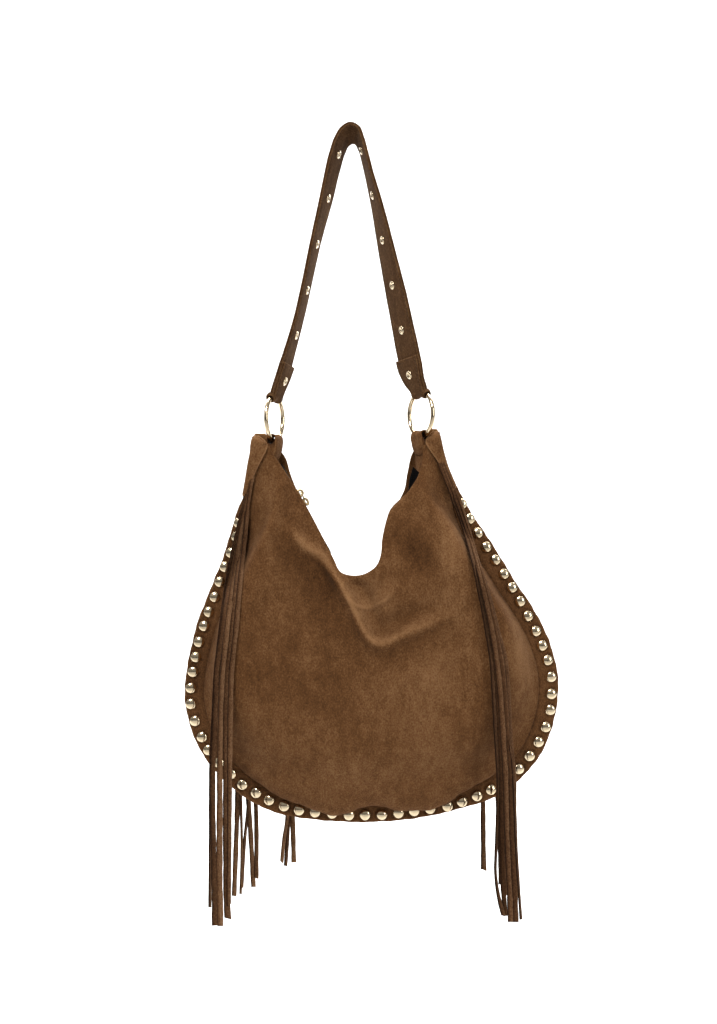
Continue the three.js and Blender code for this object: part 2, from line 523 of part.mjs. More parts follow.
// ---------- ear flaps: folded round the ear from the front to the rear ----------
// Rows down the ear: height, x of the outer fold, x of the free edge.
const FLAPS = {
  left: [[437, 252.6, 258.5], [441, 252, 264], [446, 251.2, 268], [452, 250.2, 266.6], [461, 248.6, 262.2], [471, 246.8, 257.2],
    [481, 245.2, 252.2], [489, 243.6, 248.2]],
  right: [[433, 439.3, 433.0], [437, 440.2, 428.6], [442, 441.2, 425.2], [448, 442.8, 427.8], [455, 444.6, 433.0],
    [463, 447, 439.5], [471, 450.0, 445.6], [476, 451.8, 448.6]],
};
const FLAP_OFF = 5.4, FLAP_T = 1.6;
for (const k of ['left', 'right']) {
  const rowsO = [], rowsI = [], t = FLAP_T / 2;
  FLAPS[k].forEach(([y, xo, xi], r) => {
    const sgn = xi > xo ? 1 : -1, O = [], I = [];
    const q = [];
    for (const side of ['front', 'back']) {
      const s = side === 'front' ? -1 : 1;
      const z = at(0, y).z, X = (x) => at(x, y).x;
      const dep = (x) => depthUnder(side, X(x), z) + FLAP_OFF + (s > 0 ? 1.8 : 0.2), dOut = dep(xo + sgn * 2.2);
      const half = [[X(xi), s * dep(xi), z], [X(lerp(xi, xo, 0.45)), s * dep(lerp(xi, xo, 0.45)), z], [X(xo + sgn * 2.2), s * dOut, z],
        [X(xo - sgn * 0.9), s * dOut * 0.62, z], [X(xo - sgn * 1.4), 0, z]];
      q.push(half);
    }
    const line = [...q[0], ...q[1].slice(0, 4).reverse()].map(([a, b, c]) => V(a, b, c));
    line.forEach((p, i) => {
      const a = line[Math.max(0, i - 1)], b = line[Math.min(line.length - 1, i + 1)];
      const d = b.clone().sub(a).setZ(0).normalize(), n = V(-d.y, d.x, 0);
      if (n.x * -sgn < 0 && Math.abs(n.x) > 0.05) n.negate();
      else if (Math.abs(n.x) <= 0.05 && n.y * p.y < 0) n.negate();
      O.push(p.clone().addScaledVector(n, t)); I.push(p.clone().addScaledVector(n, -t));
    });
    rowsO.push(O); rowsI.push(I);
  });
  add('ear_flap_' + k, shell(rowsO, rowsI), mat.suede);
}

// ---------- fringes: one piece of suede each, hanging from under the flap ----------
// y, left edge, right edge in the front elevation.
const FRINGES = {
  fringe_front_left: { side: 'front', rows: [[470, 250.5, 255], [482, 246, 251.5], [492, 243.9, 250], [500, 243.2, 249.6], [518, 238.5, 248], [540, 233.5, 247], [576, 225, 244.5], [620, 218, 239],
    [671, 214, 234.5], [720, 212, 233], [767, 211, 232], [850, 209.5, 231.5], [921, 209, 231.2]], hang: 655 },
  fringe_front_right: { side: 'front', rows: [[455, 433.5, 438.5], [463, 436.5, 443], [471, 439.5, 448], [484, 443.5, 454.5], [505, 449.5, 460.5], [540, 459, 470.5], [600, 472.5, 489], [650, 483, 502],
    [700, 490, 512], [740, 492.5, 517], [780, 495, 521], [850, 499, 523], [920, 501, 523.5]], hang: 690 },
  fringe_rear_left: { side: 'back', rows: [[470, 250.5, 255], [482, 246, 251.5], [492, 243.9, 250], [500, 243.2, 249.6], [518, 239, 248.5], [540, 235, 248], [576, 229, 247], [620, 226, 248],
    [671, 227, 251], [720, 229, 254], [767, 231, 256], [830, 232, 258], [892, 233, 258]], hang: 655 },
  fringe_rear_right: { side: 'back', rows: [[455, 433.5, 438.5], [463, 436.5, 442.5], [471, 439.5, 445.5], [484, 443.5, 452], [505, 449.5, 460.5], [540, 458, 470], [600, 470, 488], [650, 478, 499],
    [700, 484, 508], [740, 486, 512], [780, 488, 514], [840, 492, 516], [896, 496, 517]], hang: 690 },
};
for (const [name, f] of Object.entries(FRINGES)) {
  const s = f.side === 'front' ? -1 : 1;
  const depthAt = (y, a, b) => {
    const yy = Math.min(y, f.hang);
    let d = 0;
    for (const x of [a, (a + b) / 2, b]) { const p = at(x, yy, 0); d = Math.max(d, maxDepthNear(f.side, p.x, p.z, y < 492 ? 3 : 11)); }
    return Math.max(d, RIM_T / 2);
  };
  let last = 0;
  const fine = [];
  f.rows.forEach((r, i) => {
    if (i) { const q = f.rows[i - 1], n = r[0] <= f.hang ? 2 : 1; for (let k = 1; k < n; k++) fine.push(q.map((v, j) => lerp(v, r[j], k / n))); }
    fine.push(r);
  });
  const rows = fine.map(([y, a, b]) => {
    const thick = lerp(1.5, 9, smooth((y - f.rows[2][0] - 12) / 120));
    const sec = [[0, 0.5], [0.14, 1], [0.86, 1], [1, 0.5], [1, -0.5], [0.86, -1], [0.14, -1], [0, -0.5]], h = thick / 2;
    if (y < f.rows[2][0] + 1)   // the head lies flat between the panel and the flap
      return sec.map(([fx, fy]) => {
        const x = lerp(a, b, fx), p = at(x, y, 0);
        const d = depthUnder(f.side, p.x, p.z) + SUEDE_T / 2 + (s > 0 ? 1.4 : 1.2) + h;
        return V(p.x, s * (d + h * Math.sign(fy)), p.z);
      });
    const d = Math.max(depthAt(y, a, b) + SUEDE_T / 2 + 1.0, last);
    last = d;
    const mid = s * (d + h), L = at(a, y, mid), R = at(b, y, mid), w = R.x - L.x;
    return sec.map(([fx, fy]) => V(L.x + w * fx, mid + h * fy, L.z));
  });
  add(name, loft(rows.reverse()), mat.suede);
}

export default group;
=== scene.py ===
# Fringed suede shoulder bag, hanging from the top of its strap.
# Shapes are worked out in millimetres and scaled to metres when each mesh is made.
import bpy, math
import numpy as np
from mathutils import Vector, Matrix


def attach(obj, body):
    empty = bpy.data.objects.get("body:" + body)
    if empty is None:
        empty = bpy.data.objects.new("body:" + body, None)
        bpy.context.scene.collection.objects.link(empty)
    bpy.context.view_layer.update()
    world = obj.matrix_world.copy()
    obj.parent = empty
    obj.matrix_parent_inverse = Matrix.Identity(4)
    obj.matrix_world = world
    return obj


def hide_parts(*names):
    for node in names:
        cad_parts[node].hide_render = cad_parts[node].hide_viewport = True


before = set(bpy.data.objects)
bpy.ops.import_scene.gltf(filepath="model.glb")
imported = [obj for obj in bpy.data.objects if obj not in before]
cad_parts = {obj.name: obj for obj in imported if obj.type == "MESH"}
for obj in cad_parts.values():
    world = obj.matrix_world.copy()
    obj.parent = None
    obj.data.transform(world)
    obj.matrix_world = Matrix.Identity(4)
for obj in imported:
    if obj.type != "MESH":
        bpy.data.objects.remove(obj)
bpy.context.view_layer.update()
scene = bpy.context.scene
MM = 0.001

# ------------------------------------------------------------------ camera
EYE, EYE_X, EYE_Y, OX, OY = 1500.0, 358.5, 512.0, 352.0, 135.0
cam_data = bpy.data.cameras.new("camera")
cam_data.sensor_width = 36.0
cam_data.lens = 18.0 * 1500.0 / 512.0
camera = bpy.data.objects.new("camera", cam_data)
camera.location = ((EYE_X - OX) * MM, -EYE * MM, (OY - EYE_Y) * MM)
camera.rotation_euler = (math.pi / 2, 0, 0)
scene.collection.objects.link(camera)
scene.camera = camera

# ------------------------------------------------------------------ numbers
RING_R, RING_WIRE, RING_GAP = 22.25, 2.25, 0.5
RINGS = {"left": (274.5, 418.5, 18.6), "right": (421.0, 414.5, -29.5)}
SWING = 30.0
STRAP_T, FOLD_T = 3.5, 2.9
SUEDE_T, RIM_T, RIM_W = 2.2, 5.0, 19.0
EAR_HALF, BELLY = 12.6, 46.0


def smooth(x):
    t = np.clip(x, 0, 1)
    return t * t * (3 - 2 * t)


def lerp(a, b, t):
    return a + (b - a) * t


def unit(v):
    v = np.asarray(v, float)
    return v / np.maximum(np.linalg.norm(v, axis=-1, keepdims=True), 1e-12)


def at(x, y, d=0.0):
    """A point of the front elevation that lies at depth d behind the rim plane."""
    x, y, d = np.broadcast_arrays(np.asarray(x, float), np.asarray(y, float), np.asarray(d, float))
    k = (EYE + d) / EYE
    return np.stack([EYE_X + (x - EYE_X) * k - OX, d, OY - (EYE_Y + (y - EYE_Y) * k)], -1)


def seen(p):
    """Elevation coordinates of a point: the reverse of at()."""
    k = EYE / (EYE + p[..., 1])
    return (EYE_X + (p[..., 0] + OX - EYE_X) * k, EYE_Y + (OY - p[..., 2] - EYE_Y) * k)


def table(rows, x):
    rows = np.asarray(rows, float)
    x = np.asarray(x, float)
    i = np.clip(np.searchsorted(rows[:, 0], x, side="left"), 1, len(rows) - 1)
    a, b = rows[i - 1], rows[i]
    return lerp(a[..., 1], b[..., 1], smooth((x - a[..., 0]) / (b[..., 0] - a[..., 0])))


class Curve:
    """A centripetal Catmull-Rom curve, also by arc length."""

    def __init__(self, pts, div=600):
        self.P = np.asarray(pts, float)
        self.t = np.linspace(0, 1, div + 1)
        q = self.point(self.t)
        self.L = np.r_[0, np.cumsum(np.linalg.norm(np.diff(q, axis=0), axis=1))]
        self.length = self.L[-1]

    def point(self, t):
        P, n = self.P, len(self.P)
        t = np.clip(np.asarray(t, float), 0, 1)
        p = (n - 1) * t
        i = np.clip(np.floor(p).astype(int), 0, n - 2)
        w = (p - i)[..., None]
        Pe = np.vstack([2 * P[0] - P[1], P, 2 * P[-1] - P[-2]])
        x0, x1, x2, x3 = Pe[i], Pe[i + 1], Pe[i + 2], Pe[i + 3]
        d = lambda a, b: np.power(np.sum((a - b) ** 2, -1, keepdims=True), 0.25)
        d0, d1, d2 = d(x0, x1), d(x1, x2), d(x2, x3)
        t1 = ((x1 - x0) / d0 - (x2 - x0) / (d0 + d1) + (x2 - x1) / d1) * d1
        t2 = ((x2 - x1) / d1 - (x3 - x1) / (d1 + d2) + (x3 - x2) / d2) * d1
        return x1 + t1 * w + (-3 * x1 + 3 * x2 - 2 * t1 - t2) * w ** 2 + (2 * x1 - 2 * x2 + t1 + t2) * w ** 3

    def param(self, u):
        return np.interp(np.clip(u, 0, 1) * self.length, self.L, self.t)

    def at(self, u):
        return self.point(self.param(u))

    def tangent(self, u):
        t = self.param(u)
        return unit(self.point(np.clip(t + 1e-4, 0, 1)) - self.point(np.clip(t - 1e-4, 0, 1)))


def hashed(n, seed):
    """n steady numbers from 0 to 1."""
    return np.random.default_rng(seed).random(n)


# ------------------------------------------------------------------ outlines in the front elevation
RIM_OUTER = Curve([
    [243, 496], [235.5, 515], [229.5, 536], [222.5, 558], [208.5, 593], [197, 623], [190, 651], [185.5, 677], [184.5, 697],
    [187.5, 717], [194.5, 738], [207, 761], [229, 785], [249, 800], [267, 809.5], [287, 815.5], [314, 819.5], [345, 822],
    [372, 822], [398, 820.5], [424, 817], [449, 811.5], [473, 805], [496, 796.5], [519, 780], [537, 760], [548.5, 738],
    [556, 712], [558.5, 690], [557.5, 672], [552.5, 650], [544.5, 629], [532, 606], [516, 582], [503, 561], [490, 540],
    [473, 515], [460.5, 493], [454.5, 481]])


def rim_width(u):
    u = np.asarray(u, float)
    return lerp(6.0, RIM_W, smooth(np.minimum(u, 1 - u) * RIM_OUTER.length / 55))


def rim_point(u, inset):
    p, t = RIM_OUTER.at(u), RIM_OUTER.tangent(u)
    return np.stack([p[..., 0] + t[..., 1] * inset, p[..., 1] - t[..., 0] * inset], -1)


MOUTH = {
    "front": Curve([[268.5, 447], [276, 458], [284, 470], [297, 490], [316.5, 525], [334, 560], [339.6, 571], [350, 575.2],
                    [364, 574], [376, 566], [380.6, 555], [382, 540], [385.5, 523], [390.5, 509], [399, 500], [407, 493],
                    [413, 484.5], [418, 476], [421, 466], [423, 455], [424, 446]]),
    "back": Curve([[268.5, 446.5], [278, 449], [285.5, 458], [290, 473], [297, 490.5], [316.5, 527], [337, 567], [347, 580],
                   [358, 584], [370, 580], [381, 566], [387, 541], [393, 515], [399.5, 500], [404.5, 489], [407.5, 472],
                   [412.5, 453], [418, 446], [424, 443.5]]),
}
_n = 46
_u = lerp(0.016, 0.984, np.arange(_n + 1) / _n)
_in = rim_width(_u) + SUEDE_T / 2 + 0.6 + 2.2 * (1 - smooth(np.minimum(np.arange(_n + 1), _n - np.arange(_n + 1)) / 5))
OUTLINE = Curve([[255.5, 438.5], [252.5, 458], [251, 478], *rim_point(_u, _in).tolist(), [443.5, 462], [439, 447], [434.5, 434.5]])

MOUTH_HALF = [[0, EAR_HALF], [0.07, 11.4], [0.16, 9.2], [0.26, 9.4], [0.36, 12.5], [0.47, 25], [0.6, 34], [0.72, 33],
              [0.84, 23], [0.94, 14], [1, EAR_HALF]]
RIM_HALF = [[0, EAR_HALF], [0.055, 1.75], [0.945, 1.75], [1, EAR_HALF]]


def panel_base(side, u, v):
    """Mid surface of a panel before its folds: u along the mouth, v from the mouth to the rim."""
    s = -1.0 if side == "front" else 1.0
    u, v = np.broadcast_arrays(np.asarray(u, float), np.asarray(v, float))
    m, b = table(MOUTH_HALF, u), table(RIM_HALF, u)
    t2, b2 = MOUTH[side].at(u), OUTLINE.at(u)
    T, B = at(t2[..., 0], t2[..., 1], s * m), at(b2[..., 0], b2[..., 1], 0)
    L = np.hypot(T[..., 0] - B[..., 0], T[..., 2] - B[..., 2])
    mb = np.maximum(m, b)
    H = mb + np.maximum(0, BELLY - mb) * smooth((L - 20) / 190)
    k = smooth((L - 40) / 130)
    vb = lerp(0.15, 0.7, k)
    d1 = m + (H - m) * np.power(np.sin(np.pi / 2 * np.clip(v / vb, 0, 1)), 1.15)
    q = np.clip((v - vb) / (1 - vb), 0, 1)
    d2 = b + (H - b) * np.power(np.maximum(0, 1 - np.power(q, lerp(1.3, 2.2, k))), 1 / lerp(1.05, 1.3, k))
    d = np.where(v < vb, d1, d2)
    return np.stack([lerp(T[..., 0], B[..., 0], v), s * d, lerp(T[..., 2], B[..., 2], v)], -1)


def along(poly, x, y):
    """Signed distance from points to a polyline (positive to its right, going on), and the share of the way along it."""
    P = np.asarray(poly, float)
    best = np.full(np.shape(x), 1e9)
    sd, sh = np.zeros(np.shape(x)), np.zeros(np.shape(x))
    seg = np.linalg.norm(np.diff(P, axis=0), axis=1)
    cum = np.r_[0, np.cumsum(seg)]
    for i in range(len(P) - 1):
        a, b = P[i], P[i + 1]
        e = (b - a) / seg[i]
        w = np.clip((x - a[0]) * e[0] + (y - a[1]) * e[1], 0, seg[i])
        dx, dy = x - a[0] - e[0] * w, y - a[1] - e[1] * w
        d = np.hypot(dx, dy)
        cr = np.where(e[0] * dy - e[1] * dx >= 0, 1.0, -1.0)
        near = d < best
        best = np.where(near, d, best)
        sd = np.where(near, cr * d, sd)
        sh = np.where(near, (cum[i] + w) / cum[-1], sh)
    return sd, sh


def gauss(x, s):
    return np.exp(-(x / s) ** 2)


def spot(x, y, cx, cy, rx, ry=None, turn=0.0):
    ry = rx if ry is None else ry
    c, s = math.cos(math.radians(turn)), math.sin(math.radians(turn))
    a, b = (x - cx) * c + (y - cy) * s, -(x - cx) * s + (y - cy) * c
    return np.exp(-((a / rx) ** 2 + (b / ry) ** 2))


# The drape below the mouth: a long fold from the left ear down to the middle and up to the right, and smaller ones inside it.
RIDGE = Curve([[286, 520], [300, 544], [320, 558], [337, 581], [351, 606], [361, 628], [373, 643], [384, 645], [398, 638], [417, 630], [446, 618], [476, 600]]).at(np.linspace(0, 1, 60))
SMILE = Curve([[343, 592], [352, 603], [366, 607.5], [380, 603], [391, 594], [398, 583]]).at(np.linspace(0, 1, 24))
CREASE = Curve([[383, 566], [380, 578], [375, 595]]).at(np.linspace(0, 1, 10))
RIGHT_VALLEY = Curve([[392, 520], [404, 540], [420, 560], [440, 578]]).at(np.linspace(0, 1, 16))


def fold(side, x, y, v):
    """Height of the folds over the base surface, in mm, at a point of the front elevation."""
    h = np.zeros(np.shape(x))
    if side == "front":
        sd, sh = along(RIDGE, x, y)
        ends = smooth(sh / 0.12) * smooth((1 - sh) / 0.32)
        main = np.where(sd > 0, gauss(sd, 5.0), gauss(sd, 6.5))
        h += 5.2 * ends * main
        h -= 6.5 * ends * np.exp(-((sd + 16) / 10) ** 2) * smooth((y - 545) / 36)
        h -= 4.4 * ends * np.exp(-((sd - 17) / 12) ** 2)
        s2, a2 = along(SMILE, x, y)
        h += 2.3 * smooth(a2 / 0.2) * smooth((1 - a2) / 0.25) * np.where(s2 > 0, gauss(s2, 3.0), gauss(s2, 5.5))
        s3, a3 = along(CREASE, x, y)
        h += 1.3 * smooth(a3 / 0.3) * smooth((1 - a3) / 0.4) * gauss(s3, 2.6)
        s4, a4 = along(RIGHT_VALLEY, x, y)
        h -= 4.4 * smooth(a4 / 0.3) * smooth((1 - a4) / 0.3) * gauss(s4, 13)
        h += 3.0 * spot(x, y, 452, 560, 16, 70, -6)
        h += 1.0 * spot(x, y, 288, 560, 16, 46, -20)
        h -= 2.4 * spot(x, y, 310, 600, 22, 40, -18)
        h -= 2.0 * spot(x, y, 462, 655, 20, 40, 10)
        h += 2.0 * spot(x, y, 410, 700, 34, 60, 15)
        h -= 1.6 * spot(x, y, 330, 700, 26, 50, 10)
    else:
        for cx, cy, rx, ry, turn, a in ((330, 620, 14, 90, 24, 3.4), (395, 620, 14, 80, -20, 3.0), (360, 640, 40, 16, 0, 2.6),
                                        (290, 560, 18, 60, 18, -2.4), (440, 570, 16, 60, -22, -2.2), (360, 600, 22, 14, 0, -3.0),
                                        (250, 690, 24, 60, 8, 1.8), (480, 690, 24, 60, -8, 1.8), (365, 720, 60, 26, 0, -1.6)):
            h += a * spot(x, y, cx, cy, rx, ry, turn)
    # broad, soft waves of the skin, and shallow puckers along the seam to the rim
    h += 0.55 * np.sin(x / 17.0 + 1.3 * np.sin(y / 31.0)) * np.sin(y / 23.0 + 0.7)
    h += 0.35 * np.sin((x + y) / 11.0 + 2.0 * np.sin(y / 19.0))
    edge = np.minimum(smooth(v / 0.05), smooth((1 - v) / 0.06))
    return h * edge


DROP = {"front": [[250, 2], [262, 4], [272, 6], [284, 8], [299, 10], [316, 14.5], [332, 18], [349, 14], [360, 8.5], [372, 6.5], [384, 8],
                  [398, 13.5], [414, 15], [430, 18], [447, 15.5], [462, 8.5], [480, 5], [500, 2.5]],
        "back": [[250, 2], [275, 5], [300, 11], [318, 12], [336, 8], [356, 11], [380, 14], [400, 13], [425, 9], [445, 11], [465, 7], [500, 2]]}


def panel(side, u, v, droop=1.0, folds=1.0):
    p = panel_base(side, u, v)
    e = 0.004
    s = -1.0 if side == "front" else 1.0
    du = panel_base(side, np.clip(u + e, 0, 1), v) - panel_base(side, np.clip(u - e, 0, 1), v)
    dv = panel_base(side, u, np.clip(v + e, 0, 1)) - panel_base(side, u, np.clip(v - e, 0, 1))
    n = unit(np.cross(du, dv))
    n = np.where((n[..., 1] * s < 0)[..., None], -n, n)
    x, y = seen(p)
    q = p + n * (folds * fold(side, x, y, v))[..., None]
    # along the sides the belly runs out into the flat rim
    bottom = smooth((y - 752) / 34)
    flat = np.exp(-((1 - v) / 0.11) ** 2) * (1 - bottom) * smooth((y - 500) / 60)
    q[..., 1] = s * lerp(np.abs(q[..., 1]), np.minimum(np.abs(q[..., 1]), 3.0 + 60 * (1 - v)), 0.75 * flat)
    # at the bottom it hangs down over the rim
    t = v - 0.962
    w = np.where(t < 0, np.exp(-(t / 0.055) ** 2), 1.0) * smooth((1 - v) / 0.034)
    q[..., 2] -= droop * (table(DROP[side], x) + 1.0) * w * smooth((y - 740) / 42)
    return q


def panel_normal(side, u, v):
    e, s = 0.004, (-1.0 if side == "front" else 1.0)
    du = panel(side, np.clip(u + e, 0, 1), v) - panel(side, np.clip(u - e, 0, 1), v)
    dv = panel(side, u, np.clip(v + e, 0, 1)) - panel(side, u, np.clip(v - e, 0, 1))
    n = unit(np.cross(du, dv))
    return np.where((n[..., 1] * s < 0)[..., None], -n, n)


# ------------------------------------------------------------------ mesh helpers
def make(name, verts, faces, mats, body=None, tone=None, index=None, flat=False, slot=None):
    me = bpy.data.meshes.new(name)
    me.from_pydata((np.asarray(verts, float) * MM).tolist(), [], faces)
    me.validate()
    ob = bpy.data.objects.new(name, me)
    scene.collection.objects.link(ob)
    for m in mats if isinstance(mats, (list, tuple)) else [mats]:
        me.materials.append(m)
    if index is not None:
        me.polygons.foreach_set("material_index", np.asarray(index, np.int32))
    me.polygons.foreach_set("use_smooth", np.full(len(me.polygons), not flat))
    if tone is not None:
        at_ = me.attributes.new("tone", "FLOAT", "POINT")
        at_.data.foreach_set("value", np.asarray(tone, np.float32).ravel())
    me.update()
    if body:
        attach(ob, body)
    return ob


class Soup:
    """Vertices, faces and tones gathered into one mesh."""

    def __init__(self):
        self.v, self.f, self.t, self.m, self.n = [], [], [], [], 0

    def add(self, verts, faces, tone=0.0, mat=0):
        verts = np.asarray(verts, float).reshape(-1, 3)
        self.v.append(verts)
        self.f += [tuple(int(i) + self.n for i in f) for f in faces]
        self.t.append(np.broadcast_to(np.asarray(tone, float), (len(verts),)))
        self.m += [mat] * len(faces)
        self.n += len(verts)

    def make(self, name, mats, body=None, **k):
        return make(name, np.vstack(self.v), self.f, mats, body, tone=np.concatenate(self.t), index=self.m, **k)


def grid_faces(n, m, base=0, flip=False, close_i=False, close_j=False):
    F = []
    for i in range(n if close_i else n - 1):
        for j in range(m if close_j else m - 1):
            a, b = base + i * m + j, base + ((i + 1) % n) * m + j
            c, d = base + ((i + 1) % n) * m + (j + 1) % m, base + i * m + (j + 1) % m
            F.append((a, d, c, b) if flip else (a, b, c, d))
    return F


def shell_faces(n, m):
    """Faces of a closed shell between two n x m grids, the first one outside."""
    N = n * m
    F = grid_faces(n, m) + grid_faces(n, m, N, flip=True)
    for i in range(n - 1):
        F += [(i * m, N + i * m, N + (i + 1) * m, (i + 1) * m), (i * m + m - 1, (i + 1) * m + m - 1, N + (i + 1) * m + m - 1, N + i * m + m - 1)]
    for j in range(m - 1):
        F += [(j, j + 1, N + j + 1, N + j), ((n - 1) * m + j, N + (n - 1) * m + j, N + (n - 1) * m + j + 1, (n - 1) * m + j + 1)]
    return F


def outward(ob):
    """Faces point outwards."""
    import bmesh
    bm = bmesh.new()
    bm.from_mesh(ob.data)
    bmesh.ops.recalc_face_normals(bm, faces=bm.faces)
    bm.to_mesh(ob.data)
    bm.free()
    return ob


# ------------------------------------------------------------------ materials
def nodes_of(mat):
    mat.use_nodes = True
    nt = mat.node_tree
    for n in list(nt.nodes):
        nt.nodes.remove(n)
    out = nt.nodes.new("ShaderNodeOutputMaterial")
    bsdf = nt.nodes.new("ShaderNodeBsdfPrincipled")
    nt.links.new(bsdf.outputs["BSDF"], out.inputs["Surface"])
    return nt, bsdf


def noise(nt, scale, detail=2.0, rough=0.5, stretch=(1, 1, 1), distort=0.0, w=None):
    tc = nt.nodes.get("coords") or nt.nodes.new("ShaderNodeTexCoord")
    tc.name = "coords"
    vec = tc.outputs["Object"]
    if stretch != (1, 1, 1) or w:
        mp = nt.nodes.new("ShaderNodeMapping")
        mp.inputs["Scale"].default_value = stretch
        mp.inputs["Location"].default_value = w or (0, 0, 0)
        nt.links.new(vec, mp.inputs["Vector"])
        vec = mp.outputs["Vector"]
    n = nt.nodes.new("ShaderNodeTexNoise")
    n.inputs["Scale"].default_value = scale
    n.inputs["Detail"].default_value = detail
    n.inputs["Roughness"].default_value = rough
    n.inputs["Distortion"].default_value = distort
    nt.links.new(vec, n.inputs["Vector"])
    return n.outputs["Fac"]


def math_node(nt, op, a, b=None, c=None):
    n = nt.nodes.new("ShaderNodeMath")
    n.operation = op
    for i, x in enumerate((a, b, c)):
        if x is None:
            continue
        if isinstance(x, (int, float)):
            n.inputs[i].default_value = x
        else:
            nt.links.new(x, n.inputs[i])
    return n.outputs[0]


def ramp(nt, fac, stops):
    r = nt.nodes.new("ShaderNodeValToRGB")
    while len(r.color_ramp.elements) < len(stops):
        r.color_ramp.elements.new(0.5)
    for e, (p, c) in zip(r.color_ramp.elements, stops):
        e.position, e.color = p, (*c, 1)
    nt.links.new(fac, r.inputs["Fac"])
    return r.outputs["Color"]


def suede(name, dark, mid, light, patch=0.50, nap=0.50, grain=0.95, bump=0.5, sheen=0.03, stretch=(1, 1, 0.55), scale=1.0):
    mat = bpy.data.materials.new(name)
    nt, b = nodes_of(mat)
    big = noise(nt, 16 * scale, 3, 0.55, (1, 1, 0.7), 0.6)
    mid_n = noise(nt, 120 * scale, 3, 0.6, stretch, 0.4, (0.3, 0.1, 0.2))
    fine = noise(nt, 780, 2, 0.6, (1, 1, 0.7))
    fibre = noise(nt, 1500, 1, 0.5, (1, 1, 0.6))
    tone = nt.nodes.new("ShaderNodeAttribute")
    tone.attribute_name = "tone"
    f = math_node(nt, "MULTIPLY_ADD", math_node(nt, "SUBTRACT", big, 0.5), patch, 0.5)
    f = math_node(nt, "MULTIPLY_ADD", math_node(nt, "SUBTRACT", mid_n, 0.5), nap, f)
    f = math_node(nt, "MULTIPLY_ADD", math_node(nt, "SUBTRACT", fine, 0.5), grain, f)
    f = math_node(nt, "ADD", f, tone.outputs["Fac"])
    col = ramp(nt, f, [(0.0, dark), (0.5, mid), (1.0, light)])
    nt.links.new(col, b.inputs["Base Color"])
    b.inputs["Roughness"].default_value = 0.92
    b.inputs["Specular IOR Level"].default_value = 0.03
    b.inputs["Sheen Weight"].default_value = sheen
    b.inputs["Sheen Roughness"].default_value = 0.55
    b.inputs["Sheen Tint"].default_value = (1.0, 0.82, 0.62, 1)
    hgt = math_node(nt, "MULTIPLY_ADD", fibre, 0.5, fine)
    hgt = math_node(nt, "MULTIPLY_ADD", mid_n, 1.2, hgt)
    bp = nt.nodes.new("ShaderNodeBump")
    bp.inputs["Strength"].default_value = bump
    bp.inputs["Distance"].default_value = 0.0007
    nt.links.new(hgt, bp.inputs["Height"])
    nt.links.new(bp.outputs["Normal"], b.inputs["Normal"])
    return mat


def metal(name, color, rough=0.13):
    mat = bpy.data.materials.new(name)
    nt, b = nodes_of(mat)
    n = noise(nt, 260, 3, 0.6)
    fine = noise(nt, 1400, 2, 0.5)
    lo = tuple(c * 0.90 for c in color)
    nt.links.new(ramp(nt, n, [(0.3, lo), (0.62, color)]), b.inputs["Base Color"])
    b.inputs["Metallic"].default_value = 1.0
    r = math_node(nt, "MULTIPLY_ADD", n, 0.10, rough - 0.05)
    nt.links.new(r, b.inputs["Roughness"])
    bp = nt.nodes.new("ShaderNodeBump")
    bp.inputs["Strength"].default_value = 0.05
    bp.inputs["Distance"].default_value = 0.0002
    nt.links.new(fine, bp.inputs["Height"])
    nt.links.new(bp.outputs["Normal"], b.inputs["Normal"])
    return mat


def woven(name, dark, light, pitch=0.0007, rough=0.75):
    mat = bpy.data.materials.new(name)
    nt, b = nodes_of(mat)
    tc = nt.nodes.new("ShaderNodeTexCoord")
    tc.name = "coords"
    waves = []
    for rot in ((0, 0, 0), (0, math.pi / 2, 0)):
        mp = nt.nodes.new("ShaderNodeMapping")
        mp.inputs["Rotation"].default_value = rot
        nt.links.new(tc.outputs["Object"], mp.inputs["Vector"])
        w = nt.nodes.new("ShaderNodeTexWave")
        w.inputs["Scale"].default_value = 0.314 / pitch / 3
        nt.links.new(mp.outputs["Vector"], w.inputs["Vector"])
        waves.append(w.outputs["Fac"])
    weave = math_node(nt, "MULTIPLY", waves[0], waves[1])
    n = noise(nt, 60, 3, 0.5)
    f = math_node(nt, "MULTIPLY_ADD", weave, 0.6, math_node(nt, "MULTIPLY", n, 0.4))
    nt.links.new(ramp(nt, f, [(0.1, dark), (0.8, light)]), b.inputs["Base Color"])
    b.inputs["Roughness"].default_value = rough
    b.inputs["Specular IOR Level"].default_value = 0.04
    bp = nt.nodes.new("ShaderNodeBump")
    bp.inputs["Strength"].default_value = 0.3
    bp.inputs["Distance"].default_value = 0.0003
    nt.links.new(weave, bp.inputs["Height"])
    nt.links.new(bp.outputs["Normal"], b.inputs["Normal"])
    return mat


SUEDE = suede("suede", (0.022, 0.0085, 0.0030), (0.094, 0.0405, 0.0145), (0.215, 0.110, 0.048))
SUEDE_DARK = suede("suede_rim", (0.028, 0.0115, 0.0042), (0.102, 0.0455, 0.0175), (0.205, 0.105, 0.046), patch=0.4)
SUEDE_STRAP = suede("suede_strap", (0.018, 0.0075, 0.003), (0.068, 0.032, 0.013), (0.17, 0.092, 0.043), patch=0.4)
SUEDE_FRINGE = suede("suede_fringe", (0.016, 0.0065, 0.0028), (0.072, 0.033, 0.0145), (0.20, 0.108, 0.054), patch=0.3, nap=0.3)
GOLD = metal("pale_gold", (0.74, 0.60, 0.40))
GOLD_PULL = metal("pull_gold", (0.50, 0.38, 0.21))
for _n in GOLD_PULL.node_tree.nodes:
    if _n.type == "BSDF_PRINCIPLED":
        _n.inputs["Metallic"].default_value = 0.6
        _n.inputs["Roughness"].default_value = 0.36
        _n.inputs["Specular IOR Level"].default_value = 0.25
